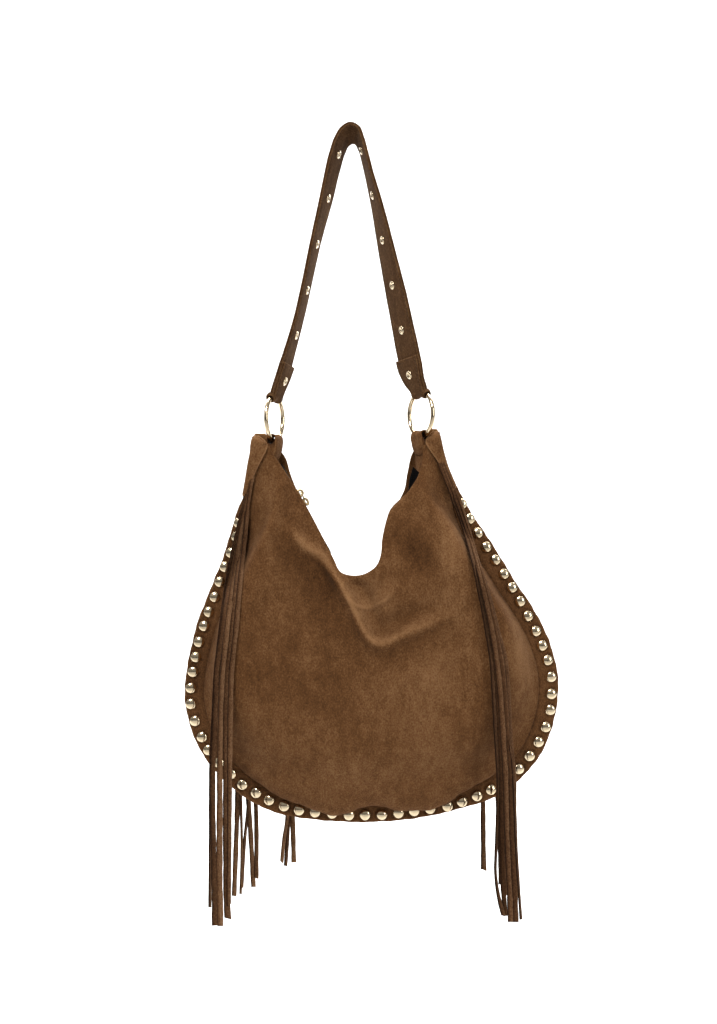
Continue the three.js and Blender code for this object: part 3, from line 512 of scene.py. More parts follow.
LINING = woven("lining_weave", (0.002, 0.002, 0.002), (0.008, 0.007, 0.007), rough=0.9)
TAPE = woven("zip_tape_weave", (0.002, 0.002, 0.002), (0.009, 0.008, 0.007), pitch=0.0009, rough=0.95)
THREAD = woven("thread", (0.060, 0.032, 0.016), (0.150, 0.085, 0.045), pitch=0.0004)

# ------------------------------------------------------------------ stage and light
def stage():
    n, verts, faces = 24, [], []
    W, Y0, Y1, Z0, Z1, R = 9.0, -3.5, 3.0, -0.93, 5.0, 1.2
    prof = [(Y0, Z0), (Y1 - R, Z0)]
    prof += [(Y1 - R + R * math.sin(a), Z0 + R - R * math.cos(a)) for a in np.linspace(0, math.pi / 2, n)[1:]]
    prof += [(Y1, Z1)]
    for y, z in prof:
        verts += [(-W, y, z), (W, y, z)]
    for i in range(len(prof) - 1):
        faces.append((2 * i, 2 * i + 1, 2 * i + 3, 2 * i + 2))
    me = bpy.data.meshes.new("floor")
    me.from_pydata(verts, [], faces)
    ob = bpy.data.objects.new("floor", me)
    me.polygons.foreach_set("use_smooth", [True] * len(me.polygons))
    mat = bpy.data.materials.new("floor_paint")
    nt, b = nodes_of(mat)
    sep = nt.nodes.new("ShaderNodeSeparateXYZ")
    tc = nt.nodes.new("ShaderNodeTexCoord")
    nt.links.new(tc.outputs["Object"], sep.inputs[0])
    n1 = math_node(nt, "MULTIPLY_ADD", sep.outputs["Y"], 1.0, 0.6)
    nt.links.new(ramp(nt, n1, [(0.0, (0.40, 0.40, 0.40)), (0.7, (0.88, 0.88, 0.88))]), b.inputs["Base Color"])
    b.inputs["Roughness"].default_value = 0.9
    b.inputs["Specular IOR Level"].default_value = 0.1
    me.materials.append(mat)
    scene.collection.objects.link(ob)


def light(name, loc, target, size, power, color=(1, 1, 1)):
    d = bpy.data.lights.new(name, "AREA")
    d.shape = "RECTANGLE"
    d.size, d.size_y = size
    d.energy = power
    d.color = color
    ob = bpy.data.objects.new(name, d)
    ob.location = loc
    ob.rotation_euler = (Vector(target) - Vector(loc)).to_track_quat("-Z", "Y").to_euler()
    scene.collection.objects.link(ob)
    return ob


stage()
CENTRE = (0.0, 0.0, -0.42)
light("key", (-0.55, -1.5, 1.05), CENTRE, (0.75, 0.75), 38)
light("fill", (1.5, -1.5, 0.0), CENTRE, (0.6, 1.1), 12)
light("top", (0.0, 0.1, 1.6), CENTRE, (1.0, 1.0), 14)
light("back_wall", (0.0, 0.9, 2.6), (0.0, 3.0, 0.0), (5.0, 1.5), 260)
light("rear", (0.6, 1.8, 0.5), CENTRE, (1.0, 1.0), 14)
world = bpy.data.worlds.new("world")
world.use_nodes = True
wn = world.node_tree
w_tc, w_sep, w_ramp = wn.nodes.new("ShaderNodeTexCoord"), wn.nodes.new("ShaderNodeSeparateXYZ"), wn.nodes.new("ShaderNodeValToRGB")
wn.links.new(w_tc.outputs["Generated"], w_sep.inputs[0])
w_map = wn.nodes.new("ShaderNodeMapRange")
w_map.inputs["From Min"].default_value = -1.0
wn.links.new(w_sep.outputs["Z"], w_map.inputs["Value"])
wn.links.new(w_map.outputs["Result"], w_ramp.inputs["Fac"])
for e, (pos, c) in zip([w_ramp.color_ramp.elements[0], w_ramp.color_ramp.elements[1], w_ramp.color_ramp.elements.new(0.46), w_ramp.color_ramp.elements.new(0.60)],
                       ((0.0, 0.22), (1.0, 1.0), (0.46, 0.16), (0.60, 0.50))):
    e.position, e.color = pos, (c, c, c * 1.03, 1)
wn.links.new(w_ramp.outputs["Color"], wn.nodes["Background"].inputs["Color"])
wn.nodes["Background"].inputs["Strength"].default_value = 0.55
scene.world = world
scene.view_settings.view_transform = "Standard"
scene.view_settings.look = "None"

# ------------------------------------------------------------------ body panels
def v_steps(n):
    """Steps that are closer together near both edges."""
    t = np.linspace(0, 1, n)
    return t - 0.11 * np.sin(2 * np.pi * t)


def make_panel(side):
    nu, nv = 286, 166
    U, Vv = np.meshgrid(np.linspace(0, 1, nu), v_steps(nv), indexing="ij")
    P, N = panel(side, U, Vv), panel_normal(side, U, Vv)
    T = SUEDE_T / 2
    # the mouth's edge is turned in, so it is a little fuller and rounded
    lip = np.exp(-(Vv / 0.010) ** 2)
    outer = P + N * (T * (1 - 0.55 * lip) + 0.35 * np.exp(-((Vv - 0.028) / 0.020) ** 2))[..., None]
    inner = P - N * (T * (1 - 0.55 * lip))[..., None]
    x, y = seen(P)
    # tone: painted highlights on the crests of the folds and along the mouth's edge, painted shade in the hollows and
    # towards the rim, and the lower part painted a little lighter
    h = fold(side, x, y, Vv)
    tone = 0.014 * h
    tone = tone + 0.16 * np.exp(-(Vv / 0.005) ** 2)
    tone = tone - 0.10 * smooth((Vv - 0.95) / 0.05) - 0.05 * smooth((Vv - 0.82) / 0.16) + 0.07 * smooth((y - 660) / 80)
    # the long fold: a painted highlight along its crest and painted shade below it; painted light on the bulges and
    # painted shade in the hollows around them
    if side == "front":
        sd, sh = along(RIDGE, x, y)
        run = smooth(sh / 0.10) * smooth((1 - sh) / 0.45)
        crisp = smooth((y - 560) / 25) * smooth((650 - y) / 20)
        tone = tone + run * (0.20 * gauss(sd + 1.2, lerp(4.5, 1.7, crisp)) + 0.10 * gauss(sd + 6, 7) * (sd < 0))
        tone = tone + 0.14 * spot(x, y, 309, 551, 17, 5, 22) + 0.24 * spot(x, y, 362, 592, 22, 24) + 0.10 * spot(x, y, 395, 610, 26, 24) + 0.20 * spot(x, y, 203, 690, 14, 70) + 0.17 * spot(x, y, 524, 665, 18, 70) + 0.06 * spot(x, y, 440, 650, 40, 50) - 0.20 * run * smooth(sd / 2.0) * np.exp(-np.maximum(sd, 0) / 11)
        s2, a2 = along(SMILE, x, y)
        tone = tone + 0.22 * smooth(a2 / 0.2) * smooth((1 - a2) / 0.25) * gauss(s2, 1.4) + 0.10 * spot(x, y, 358, 588, 22, 12) + 0.06 * spot(x, y, 372, 625, 16, 12)
        tone = tone + 0.16 * spot(x, y, 452, 560, 16, 75, -6) + 0.20 * spot(x, y, 524, 655, 13, 60, -12) + 0.05 * spot(x, y, 268, 510, 16, 50, -10)
        tone = tone - 0.08 * spot(x, y, 328, 600, 20, 34, -20) - 0.20 * spot(x, y, 418, 552, 14, 30, -35) + 0.10 * spot(x, y, 440, 655, 30, 40)
        tone = tone - 0.06 * spot(x, y, 330, 720, 60, 50) + 0.05 * spot(x, y, 380, 770, 60, 24)
    verts = np.vstack([outer.reshape(-1, 3), inner.reshape(-1, 3)])
    t2 = np.concatenate([tone.ravel(), (tone - 0.1).ravel()])
    ob = make("body_" + side, verts, shell_faces(nu, nv), SUEDE, "bag", tone=t2, slot="suede")
    outward(ob)
    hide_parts(side + "_panel")
    return ob


front, back = make_panel("front"), make_panel("back")

# ------------------------------------------------------------------ rim band, with its layered edge
STUDS = [(239, 523), (236.5, 537), (231, 553), (225, 567), (220, 582), (215, 597), (209, 612), (204, 626), (199, 642), (196, 657),
         (193, 672), (191, 688), (191, 704), (195, 721), (202, 737), (208.5, 750), (219, 762.5), (231, 774), (242.5, 784.5), (256, 793),
         (269, 800), (284, 806), (299, 810), (315, 812), (332, 813.5), (349, 815), (365, 815), (382, 814.5), (398.5, 813), (414, 811),
         (430, 808.5), (447.5, 806), (462, 801.5), (477, 796), (491, 789.5), (505.5, 780), (519, 769), (529.5, 756), (538.5, 742),
         (545.5, 727), (550, 710), (551.3, 694), (551, 677), (547.5, 660), (542, 645.5), (536, 631), (528, 616), (520, 601.5),
         (512, 587.5), (503.5, 574), (495, 560), (486, 547), (477.5, 533), (469.5, 519), (461.5, 504)]
RIM_HALF_T = RIM_T / 2
STUD_XZ = np.array([at(x, y, -RIM_HALF_T)[[0, 2]] for x, y in STUDS])


def make_rim():
    n = 760
    U = np.linspace(0, 1, n)
    W = rim_width(U)
    o, t = RIM_OUTER.at(U), RIM_OUTER.tangent(U)
    wob = 0.22 * np.sin(U * 210 + 1.7 * np.sin(U * 61)) + 0.15 * np.sin(U * 473)
    # inset, half thickness, tone
    face = [(0.28, 1.45, 0.10), (0.75, 2.1, 0.10), (1.5, 2.42, 0.02), (2.6, 2.5, -0.02)]
    face += [(x, 2.5, -0.05) for x in np.linspace(3.9, 15.2, 9)]
    rows = [(0.95, 0.0, -0.35), (0.30, 0.45, -0.05)] + face
    tail_ = [(15.8, 2.5, -0.06), (17.0, 2.42, -0.06), (18.4, 2.2, -0.08), (20.5, 1.4, -0.1), (23.0, 0.55, -0.1), (23.6, 0.0, -0.1)]
    half = rows + tail_
    loop = [(a, -b, c) for a, b, c in half] + [(a, b, c) for a, b, c in half[::-1][1:-1]]
    m = len(loop)
    V = np.zeros((n, m, 3))
    tone = np.zeros((n, m))
    for j, (a, b, c) in enumerate(loop):
        ins = a * np.where(a > 15.5, (W + (a - RIM_W)) / a, np.clip(W / RIM_W, 0, 1) if a > 2 else 1.0) + (wob if a < 3 else 0)
        px, py = o[:, 0] + t[:, 1] * ins, o[:, 1] - t[:, 0] * ins
        p = at(px, py, 0)
        p[:, 1] = b
        V[:, j] = p
        tone[:, j] = c
    # the suede dips round each stud, and waves a little between them
    d = np.sqrt(((V[..., None, [0, 2]] - STUD_XZ) ** 2).sum(-1)).min(-1)
    face_w = smooth((np.abs(V[..., 1]) - 2.2) / 0.25)
    V[..., 1] -= np.sign(V[..., 1]) * face_w * (0.55 * np.exp(-((d - 6.3) / 1.5) ** 2) - 0.25 * np.exp(-((d - 9.5) / 2.5) ** 2))
    # a ring of painted shadow round each stud
    tone -= 0.17 * face_w * np.exp(-((d - 5.9) / 2.0) ** 2)
    faces = grid_faces(n, m, close_j=True)
    faces += [tuple(range(m)), tuple((n - 1) * m + j for j in range(m))[::-1]]
    ob = make("rim", V.reshape(-1, 3), faces, SUEDE_DARK, "bag", tone=tone.ravel(), slot="suede_dark")
    outward(ob)
    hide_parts("rim_band")


make_rim()


def lathe(soup, profile, centre, axis, n=26, tone=0.0, spin=0.0):
    """A turned shape: profile rows of radius and height along the axis."""
    axis = unit(np.asarray(axis, float))
    ref = np.array([0, 0, 1.0]) if abs(axis[2]) < 0.9 else np.array([1.0, 0, 0])
    e1 = unit(np.cross(axis, ref))
    e2 = np.cross(axis, e1)
    ang = np.arange(n) / n * 2 * np.pi + spin
    ring = np.cos(ang)[:, None] * e1 + np.sin(ang)[:, None] * e2
    verts, rows = [], []
    for r, h in profile:
        base = np.asarray(centre, float) + axis * h
        if r < 1e-6:
            rows.append((len(verts), 1))
            verts.append(base)
        else:
            rows.append((len(verts), n))
            verts += list(base + ring * r)
    F = []
    for (a, ca), (b, cb) in zip(rows[:-1], rows[1:]):
        for k in range(n):
            k2 = (k + 1) % n
            if ca == 1:
                F.append((a, b + k2, b + k))
            elif cb == 1:
                F.append((a + k, a + k2, b))
            else:
                F.append((a + k, a + k2, b + k2, b + k))
    soup.add(np.array(verts), F, tone)


STUD_PROFILE = [(0, -0.5), (4.9, -0.5), (5.3, -0.25), (5.42, 0.1), (5.38, 0.5), (5.15, 0.9), (4.75, 1.25), (4.2, 1.6), (3.5, 1.92), (2.7, 2.2),
                (1.8, 2.4), (0.9, 2.52), (0, 2.55)]


def make_studs():
    for face, s in (("front", -1.0), ("rear", 1.0)):
        soup = Soup()
        r = hashed(len(STUDS) * 3, 11 if s < 0 else 12).reshape(-1, 3)
        for (x, z), k in zip(STUD_XZ, r):
            tilt = np.array([(k[0] - 0.5) * 0.22, s, (k[1] - 0.5) * 0.22])
            dx, dz = (0.0, 0.0) if s < 0 else ((k[0] - 0.5) * 1.0, -1.4 + (k[1] - 0.5) * 0.8)
            lathe(soup, STUD_PROFILE, (x + dx, s * (RIM_HALF_T - 0.25), z + dz), tilt, 26, spin=k[2])
        ob = soup.make("rim_studs_" + face, GOLD, "bag", slot="gold")
        outward(ob)


make_studs()

# ------------------------------------------------------------------ depth of the body under a point
from mathutils.bvhtree import BVHTree


def bvh_of(ob):
    me = ob.data
    v = np.empty(len(me.vertices) * 3, np.float32)
    me.vertices.foreach_get("co", v)
    v = v.reshape(-1, 3) / MM
    return BVHTree.FromPolygons([Vector(c) for c in v], [tuple(p.vertices) for p in me.polygons])


SURF = {"front": bvh_of(front), "back": bvh_of(back)}


def skin(side, X, Z):
    """How far out the panel's outer face stands at X, Z; None beside the panel."""
    s = -1.0 if side == "front" else 1.0
    hit = SURF[side].ray_cast(Vector((X, s * 120.0, Z)), Vector((0, -s, 0)))
    return abs(hit[0].y) if hit[0] is not None else None


def skin_at(side, x, y, guess=20.0, spread=(0.0,)):
    """The same at elevation x, y, seen in perspective."""
    s = -1.0 if side == "front" else 1.0
    d = guess
    for _ in range(3):
        best = None
        for dx in spread:
            p = at(x + dx, y, s * d)
            h = skin(side, float(p[0]), float(p[2]))
            if h is not None:
                best = h if best is None else max(best, h)
        d = best if best is not None else RIM_HALF_T + 0.3
    return d


# ------------------------------------------------------------------ lining
def make_lining():
    nu, nv, T = 120, 46, 0.8
    ua, ub = 0.08, 0.92
    U = np.linspace(ua, ub, nu)
    soup_v, F = [], []
    rings = []
    for off in (0.0, T):
        rows = []
        for side in ("front", "back"):
            s = -1.0 if side == "front" else 1.0
            t2, b2 = MOUTH[side].at(U), OUTLINE.at(U)
            L = np.hypot(t2[:, 0] - b2[:, 0], t2[:, 1] - b2[:, 1])
            ears = smooth((np.abs(U - 0.5) - 0.26) / 0.10)
            Vv = lerp(np.maximum(lerp(0.04, 0.012, ears), lerp(12, 3.6, ears) / L)[:, None], (1 - 7 / np.maximum(L, 40))[:, None], np.linspace(0, 1, nv)[None, :])
            UU = np.broadcast_to(U[:, None], Vv.shape)
            P = panel(side, UU, Vv, droop=0.25)
            N = panel_normal(side, UU, Vv)
            P = P - N * (SUEDE_T / 2 + 1.7 + off)
            edge = smooth(np.minimum(np.arange(nu), nu - 1 - np.arange(nu)) / 14)[:, None]
            P[..., 1] = s * np.maximum(0.35 + (T if off == 0 else 0), s * P[..., 1] * edge)
            rows.append(P)
        rings.append(np.concatenate([rows[0], rows[1][::-1]], 0))      # round the pouch
    n = 2 * nu
    V = np.concatenate([rings[0].reshape(-1, 3), rings[1].reshape(-1, 3)])
    F = grid_faces(n, nv, 0, close_i=True) + grid_faces(n, nv, n * nv, flip=True, close_i=True)
    for i in range(n):
        k = (i + 1) % n
        F.append((i * nv, n * nv + i * nv, n * nv + k * nv, k * nv))
    for i in range(nu - 1):
        a, b, c, d = i, i + 1, n - 2 - i, n - 1 - i
        q = nv - 1
        F.append((a * nv + q, b * nv + q, c * nv + q, d * nv + q))
        F.append((n * nv + a * nv + q, n * nv + d * nv + q, n * nv + c * nv + q, n * nv + b * nv + q))
    ob = make("lining_pouch", V, F, LINING, "bag", tone=np.zeros(len(V)), slot="lining")
    outward(ob)
    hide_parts("lining")


make_lining()

# ------------------------------------------------------------------ zip: tapes with their coil teeth
ZIP_DIR, ZIP_UP = unit((39, 0, -70)), unit((70, 0, 39))
ZIP_A = at(299, 493.5) - 1.2 * ZIP_UP


def make_tapes():
    for side in ("front", "back"):
        s = -1.0 if side == "front" else 1.0
        n = 260
        U = np.linspace(0.075, 0.91, n)
        z = np.zeros(n)
        tp, bp = panel_base(side, U, z), panel_base(side, U, z + 1)
        L = np.hypot(tp[:, 0] - bp[:, 0], tp[:, 2] - bp[:, 2])
        v7 = 7 / L
        base = panel(side, U, v7)
        nrm = panel_normal(side, U, v7)
        a = base - nrm * (SUEDE_T / 2 + 1.0)
        w = smooth((U - 0.37) / 0.07)[:, None]
        lam = (tp - ZIP_A) @ ZIP_DIR
        line = ZIP_A + lam[:, None] * ZIP_DIR
        f = np.where(lam < 0, 1.7, 1.7 + 3.6 * np.power(np.clip(lam / 78, 0, 1), 1.5))
        F1 = np.stack([line[:, 0], s * f, line[:, 2]], -1)
        K1 = np.stack([line[:, 0], np.full(n, s * 6.0), line[:, 2]], -1)
        down = bp - tp
        down[:, 1] = 0
        down = unit(down)
        F2 = a + down * 5.5
        F2[:, 1] -= s * np.minimum(8, np.abs(a[:, 1]) - 2)
        K2 = a - down * 0.5
        K2[:, 1] -= s * 2.5
        F_, K_ = lerp(F1, F2, w), lerp(K1, K2, w)
        # a smooth curve across the tape: free edge, knee, sewn edge
        tt = np.linspace(0, 1, 9)
        mid = [(1 - q) ** 2 * F_ + 2 * q * (1 - q) * (1.35 * K_ - 0.35 * (F_ + a) / 2) + q * q * a for q in tt]
        P = np.stack(mid, 1)
        dU, dV = np.gradient(P, axis=0), np.gradient(P, axis=1)
        N = unit(np.cross(dU, dV))
        flip = (N @ ZIP_UP < 0)
        N = np.where(flip[..., None], -N, N)
        T = 0.45
        V = np.vstack([(P + N * T).reshape(-1, 3), (P - N * T).reshape(-1, 3)])
        soup = Soup()
        soup.add(V, shell_faces(n, 9), 0.0, 0)
        # the coil: small loops along the free edge, closed up above the slider
        seg = np.linalg.norm(np.diff(P[:, 0], axis=0), axis=1)
        cum = np.r_[0, np.cumsum(seg)]
        pitch = 1.7
        for k in range(int(cum[-1] / pitch)):
            q = (k + (0.5 if s > 0 else 0.0)) * pitch
            i = int(np.clip(np.searchsorted(cum, q), 1, n - 1))
            fr = (q - cum[i - 1]) / seg[i - 1]
            c = lerp(P[i - 1, 0], P[i, 0], fr)
            along_ = unit(P[i, 0] - P[i - 1, 0])
            out = unit(P[i, 0] - P[i, 1])
            up = np.cross(along_, out)
            box = []
            for sx, sy in ((-1, 0), (-0.75, 0.8), (0.75, 0.8), (1, 0), (0.75, -0.8), (-0.75, -0.8)):
                for dz in (-0.42, 0.42):
                    box.append(c + out * (0.1 + sx * 1.15) + up * (sy * 0.75) + along_ * dz)
            fs = [(2 * j, 2 * j + 1, (2 * j + 3) % 12, (2 * j + 2) % 12) for j in range(6)] + [tuple(range(0, 12, 2))[::-1], tuple(range(1, 12, 2))]
            soup.add(np.array(box), fs, 0.0, 1)
        ob = soup.make("zip_tape_and_coil_" + side, [TAPE, COIL], "bag", slot="zip_tape")
        outward(ob)
        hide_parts("zip_tape_" + side)


COIL = woven("coil_plastic", (0.003, 0.003, 0.003), (0.010, 0.009, 0.008), pitch=0.0012, rough=0.5)
make_tapes()

# ------------------------------------------------------------------ rings
def ring_frame(k):
    x, y, yaw = RINGS[k]
    a = math.radians(yaw)
    width, axis = np.array([math.sin(a), math.cos(a), 0]), np.array([math.cos(a), -math.sin(a), 0])
    return at(x, y, 0), width, axis


for k in RINGS:
    c, width, axis = ring_frame(k)
    n, m = 112, 26
    A = np.arange(n) / n * 2 * np.pi
    B = np.arange(m) / m * 2 * np.pi
    dirs = np.sin(A)[:, None] * width + np.cos(A)[:, None] * np.array([0, 0, 1.0])
    wire = RING_WIRE * (1 + 0.012 * np.sin(5 * A))[:, None, None]
    P = c + dirs[:, None, :] * (RING_R + wire * np.cos(B)[None, :, None]) + axis * (wire * np.sin(B)[None, :, None])
    ob = make("o_ring_" + k, P.reshape(-1, 3), grid_faces(n, m, close_i=True, close_j=True), GOLD, "ring_" + k, slot="gold")
    outward(ob)
    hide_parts("ring_" + k)

# ------------------------------------------------------------------ strap
STATIONS = np.array([
    [274.8, 397.0, 0.32, 0, 23], [277.6, 388, 0.30, 0, 26], [281.3, 378, 0.26, 0, 32.5], [285.4, 366, 0.22, 0, 38],
    [291, 347, 0.17, 0, 38], [299, 318, 0.14, 0, 38], [306.2, 286, 0.14, 0, 38], [316, 240, 0.16, 0, 38],
    [326.3, 198, 0.23, -0.04, 38], [334.3, 163, 0.25, -0.12, 38], [339.6, 146, 0.2, -0.22, 38], [344.6, 137.0, 0.12, -0.28, 38],
    [351, 133.3, 0.06, -0.31, 38], [357, 136.0, 0, -0.29, 38], [361.4, 144.6, -0.04, -0.22, 38], [365.4, 159, -0.08, -0.1, 38],
    [370, 178, -0.12, 0, 38], [377, 206, -0.21, 0, 38], [387.9, 257, -0.36, 0, 38], [397.2, 300, -0.46, 0, 38],
    [407.4, 350, -0.52, 0, 38], [411.4, 368, -0.52, 0, 38], [415.2, 379.5, -0.51, 0, 32], [418.8, 387, -0.5, 0, 26],
    [420.9, 393.0, -0.49, 0, 23]])
STRAP = Curve(at(STATIONS[:, 0], STATIONS[:, 1], 0.0))


def strap_frame(t):
    t = np.asarray(t, float)
    c = STRAP.point(t)
    T = unit(STRAP.point(np.clip(t + 1e-4, 0, 1)) - STRAP.point(np.clip(t - 1e-4, 0, 1)))
    g = t * (len(STATIONS) - 1)
    col = lambda j: np.interp(g, np.arange(len(STATIONS)), STATIONS[:, j])
    wx, wz, W = col(2), col(3), col(4)
    w = np.stack([wx, np.sqrt(np.maximum(0, 1 - wx ** 2 - wz ** 2)), wz], -1)
    w = unit(w - T * (w * T).sum(-1, keepdims=True))
    return c, T, w, unit(np.cross(w, T)), W


def param_at_y(y, right):
    t = np.linspace(0.5, 1, 4001) if right else np.linspace(0, 0.5, 4001)
    return float(t[np.argmin(np.abs(OY - STRAP.point(t)[:, 2] - y))])


def band_section(h, T, groove):
    """Cross-section of a strap layer: (across, through, tone), closed. A stitch channel runs 3 mm inside each edge."""
    e, b = h, T / 2
    one = [(-e + 0.15, -b + 0.45, 0.10), (-e + 0.6, -b + 0.08, 0.12), (-e + 1.3, -b, 0.04), (-e + 2.3, -b, 0.0), (-e + 3.0, -b + 0.28, -0.16),
           (-e + 3.7, -b, 0.0), (-e * 0.55, -b - 0.1, 0.0), (0.0, -b - 0.22, 0.0)]
    side_ = one + [(-s_, t_, c) for s_, t_, c in one[::-1][1:]]
    edge_r = [(e, -0.55, 0.02), (e - (0.75 if groove else 0.05), 0.0, -0.45 if groove else 0.0), (e, 0.55, 0.02)]
    edge_l = [(-e, 0.55, 0.02), (-e + (0.75 if groove else 0.05), 0.0, -0.45 if groove else 0.0), (-e, -0.55, 0.02)]
    return side_ + edge_r + [(s_, -t_, c) for s_, t_, c in side_[::-1]] + edge_l


def band(soup, t0, t1, n, off, T, groove=True, end_tone=0.25, seed=3):
    t = np.linspace(t0, t1, n)
    c, tan, w, inn, W = strap_frame(t)
    sec = band_section(1.0, T, groove)
    m = len(sec)
    V = np.zeros((n, m, 3))
    tone = np.zeros((n, m))
    arc = np.r_[0, np.cumsum(np.linalg.norm(np.diff(c, axis=0), axis=1))]
    ripple = 0.12 * np.sin(arc / 9.0 + seed) + 0.08 * np.sin(arc / 3.7 + 2 * seed)
    for i in range(n):
        h = W[i] / 2
        rows = band_section(h, T, groove)
        for j, (a, b, k) in enumerate(rows):
            V[i, j] = c[i] + w[i] * (a + ripple[i] * np.sign(a) * (abs(a) > h - 1.5)) + inn[i] * (b + off)
            tone[i, j] = k
    # ends closed with a fan to the middle
    faces = grid_faces(n, m, close_j=True)
    cap0, cap1 = V[0].mean(0), V[-1].mean(0)
    V2 = np.vstack([V.reshape(-1, 3), cap0, cap1])
    N = n * m
    faces += [(j, N, (j + 1) % m) for j in range(m)] + [((n - 1) * m + (j + 1) % m, N + 1, (n - 1) * m + j) for j in range(m)]
    tone[0] += end_tone if end_tone else 0
    tone[-1] += end_tone if end_tone else 0
    soup.add(V2, faces, np.r_[tone.ravel(), end_tone, end_tone])


def stitches(soup, t0, t1, off, face, edge=3.0, step=3.6, length=2.7, r=0.36):
    """Short thread stitches along both edges of one face of the strap."""
    t = np.linspace(t0, t1, 1400)
    c, tan, w, inn, W = strap_frame(t)
    arc = np.r_[0, np.cumsum(np.linalg.norm(np.diff(c, axis=0), axis=1))]
    for k in range(int(arc[-1] / step)):
        i = int(np.clip(np.searchsorted(arc, (k + 0.5) * step), 0, len(t) - 1))
        for sgn in (-1, 1):
            p = c[i] + w[i] * sgn * (W[i] / 2 - edge) + inn[i] * (off + face * 0.02)
            a, b, up = tan[i] * length / 2, w[i] * r, inn[i] * face * r
            pts = []
            for fx, rr in ((-1, 0.35), (-0.6, 1.0), (0.6, 1.0), (1, 0.35)):
                for cs, sn in ((1, 0), (0.5, 0.86), (-0.5, 0.86), (-1, 0), (0, -0.8)):
                    pts.append(p + a * fx + b * cs * rr + up * sn * rr)
            fs = []
            for q in range(3):
                for j in range(5):
                    fs.append((q * 5 + j, q * 5 + (j + 1) % 5, q * 5 + 5 + (j + 1) % 5, q * 5 + 5 + j))
            fs += [tuple(range(5))[::-1], tuple(range(15, 20))]
            soup.add(np.array(pts), fs, 0.0, 1)


def make_strap():
    soup = Soup()
    fl, fr = param_at_y(364, False), param_at_y(358, True)
    band(soup, 0, 1, 300, 0.0, STRAP_T, True, 0.0)
    band(soup, 0, fl, 44, (STRAP_T + FOLD_T) / 2 - 0.05, FOLD_T, True, 0.30, 5)
    band(soup, fr, 1, 44, (STRAP_T + FOLD_T) / 2 - 0.05, FOLD_T, True, 0.30, 7)
    for k in RINGS:
        c, width, axis = ring_frame(k)
        n, m = 29, 30
        A = np.radians(np.linspace(-31, 31, n))
        B = np.arange(m) / m * 2 * np.pi
        dirs = np.sin(A)[:, None] * width + np.cos(A)[:, None] * np.array([0, 0, 1.0])
        rr = 5.3 - 0.9 * smooth((np.abs(np.linspace(-1, 1, n)) - 0.78) / 0.22)
        ring = lambda r: c + dirs[:, None, :] * (RING_R + r[:, None, None] * np.cos(B)[None, :, None]) + axis * (r[:, None, None] * np.sin(B)[None, :, None])
        outer, inner = ring(rr), ring(np.full(n, RING_WIRE + 0.55))
        V = np.vstack([outer.reshape(-1, 3), inner.reshape(-1, 3)])
        N = n * m
        F = grid_faces(n, m, close_j=True) + grid_faces(n, m, N, flip=True, close_j=True)
        for j in range(m):
            j2 = (j + 1) % m
            F += [(j, j2, N + j2, N + j), ((n - 1) * m + j2, (n - 1) * m + j, N + (n - 1) * m + j, N + (n - 1) * m + j2)]
        tone = np.zeros((n, m))
        tone[[0, -1]] = 0.15
        # the inside of the loop, round the wire, is painted in shade
        soup.add(V, F, np.concatenate([tone.ravel(), np.full(N, -0.3)]))
    stitches(soup, fl + 0.004, fr - 0.004, STRAP_T / 2, 1)
    stitches(soup, 0.03, 0.97, -STRAP_T / 2, -1)
    stitches(soup, 0.012, fl - 0.004, STRAP_T / 2 + FOLD_T, 1)
    stitches(soup, fr + 0.004, 0.988, STRAP_T / 2 + FOLD_T, 1)
    ob = soup.make("strap_suede", [SUEDE_STRAP, THREAD], "strap", slot="suede")
    outward(ob)
    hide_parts("strap")


make_strap()

RIVET_Y = {"left": [154, 198, 244, 290, 335, 380], "right": [150, 195, 240, 285, 330, 374]}
for k, ys in RIVET_Y.items():
    for i, y in enumerate(ys):
        t = param_at_y(y, k == "right")
        c, tan, w, inn, W = strap_frame(np.array([t]))
        c, inn = c[0], inn[0]
        a = STRAP_T / 2 + 0.1
        b = STRAP_T / 2 + (FOLD_T if i == 5 else 0) + 0.1
        prof = [(0, -b - 0.15), (1.1, -b - 0.2), (1.5, -b - 0.5), (1.9, -b - 1.15), (2.4, -b - 1.45), (3.0, -b - 1.5), (3.6, -b - 1.25), (4.1, -b - 0.85), (4.35, -b - 0.4),
                (4.3, -b + 0.0), (1.9, -b + 0.1), (1.9, a - 0.2), (5.0, a - 0.2), (5.3, a + 0.15), (5.3, a + 0.6), (5.0, a + 1.2), (4.3, a + 1.85), (3.4, a + 2.45),
                (2.3, a + 2.9), (1.2, a + 3.15), (0, a + 3.2)]
        soup = Soup()
        lathe(soup, prof, c, -inn, 26)
        name = f"strap_rivet_{k}_{i + 1}"
        ob = soup.make(name.replace("rivet", "dome_rivet"), GOLD, "strap", slot="gold")
        outward(ob)
        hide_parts(name)

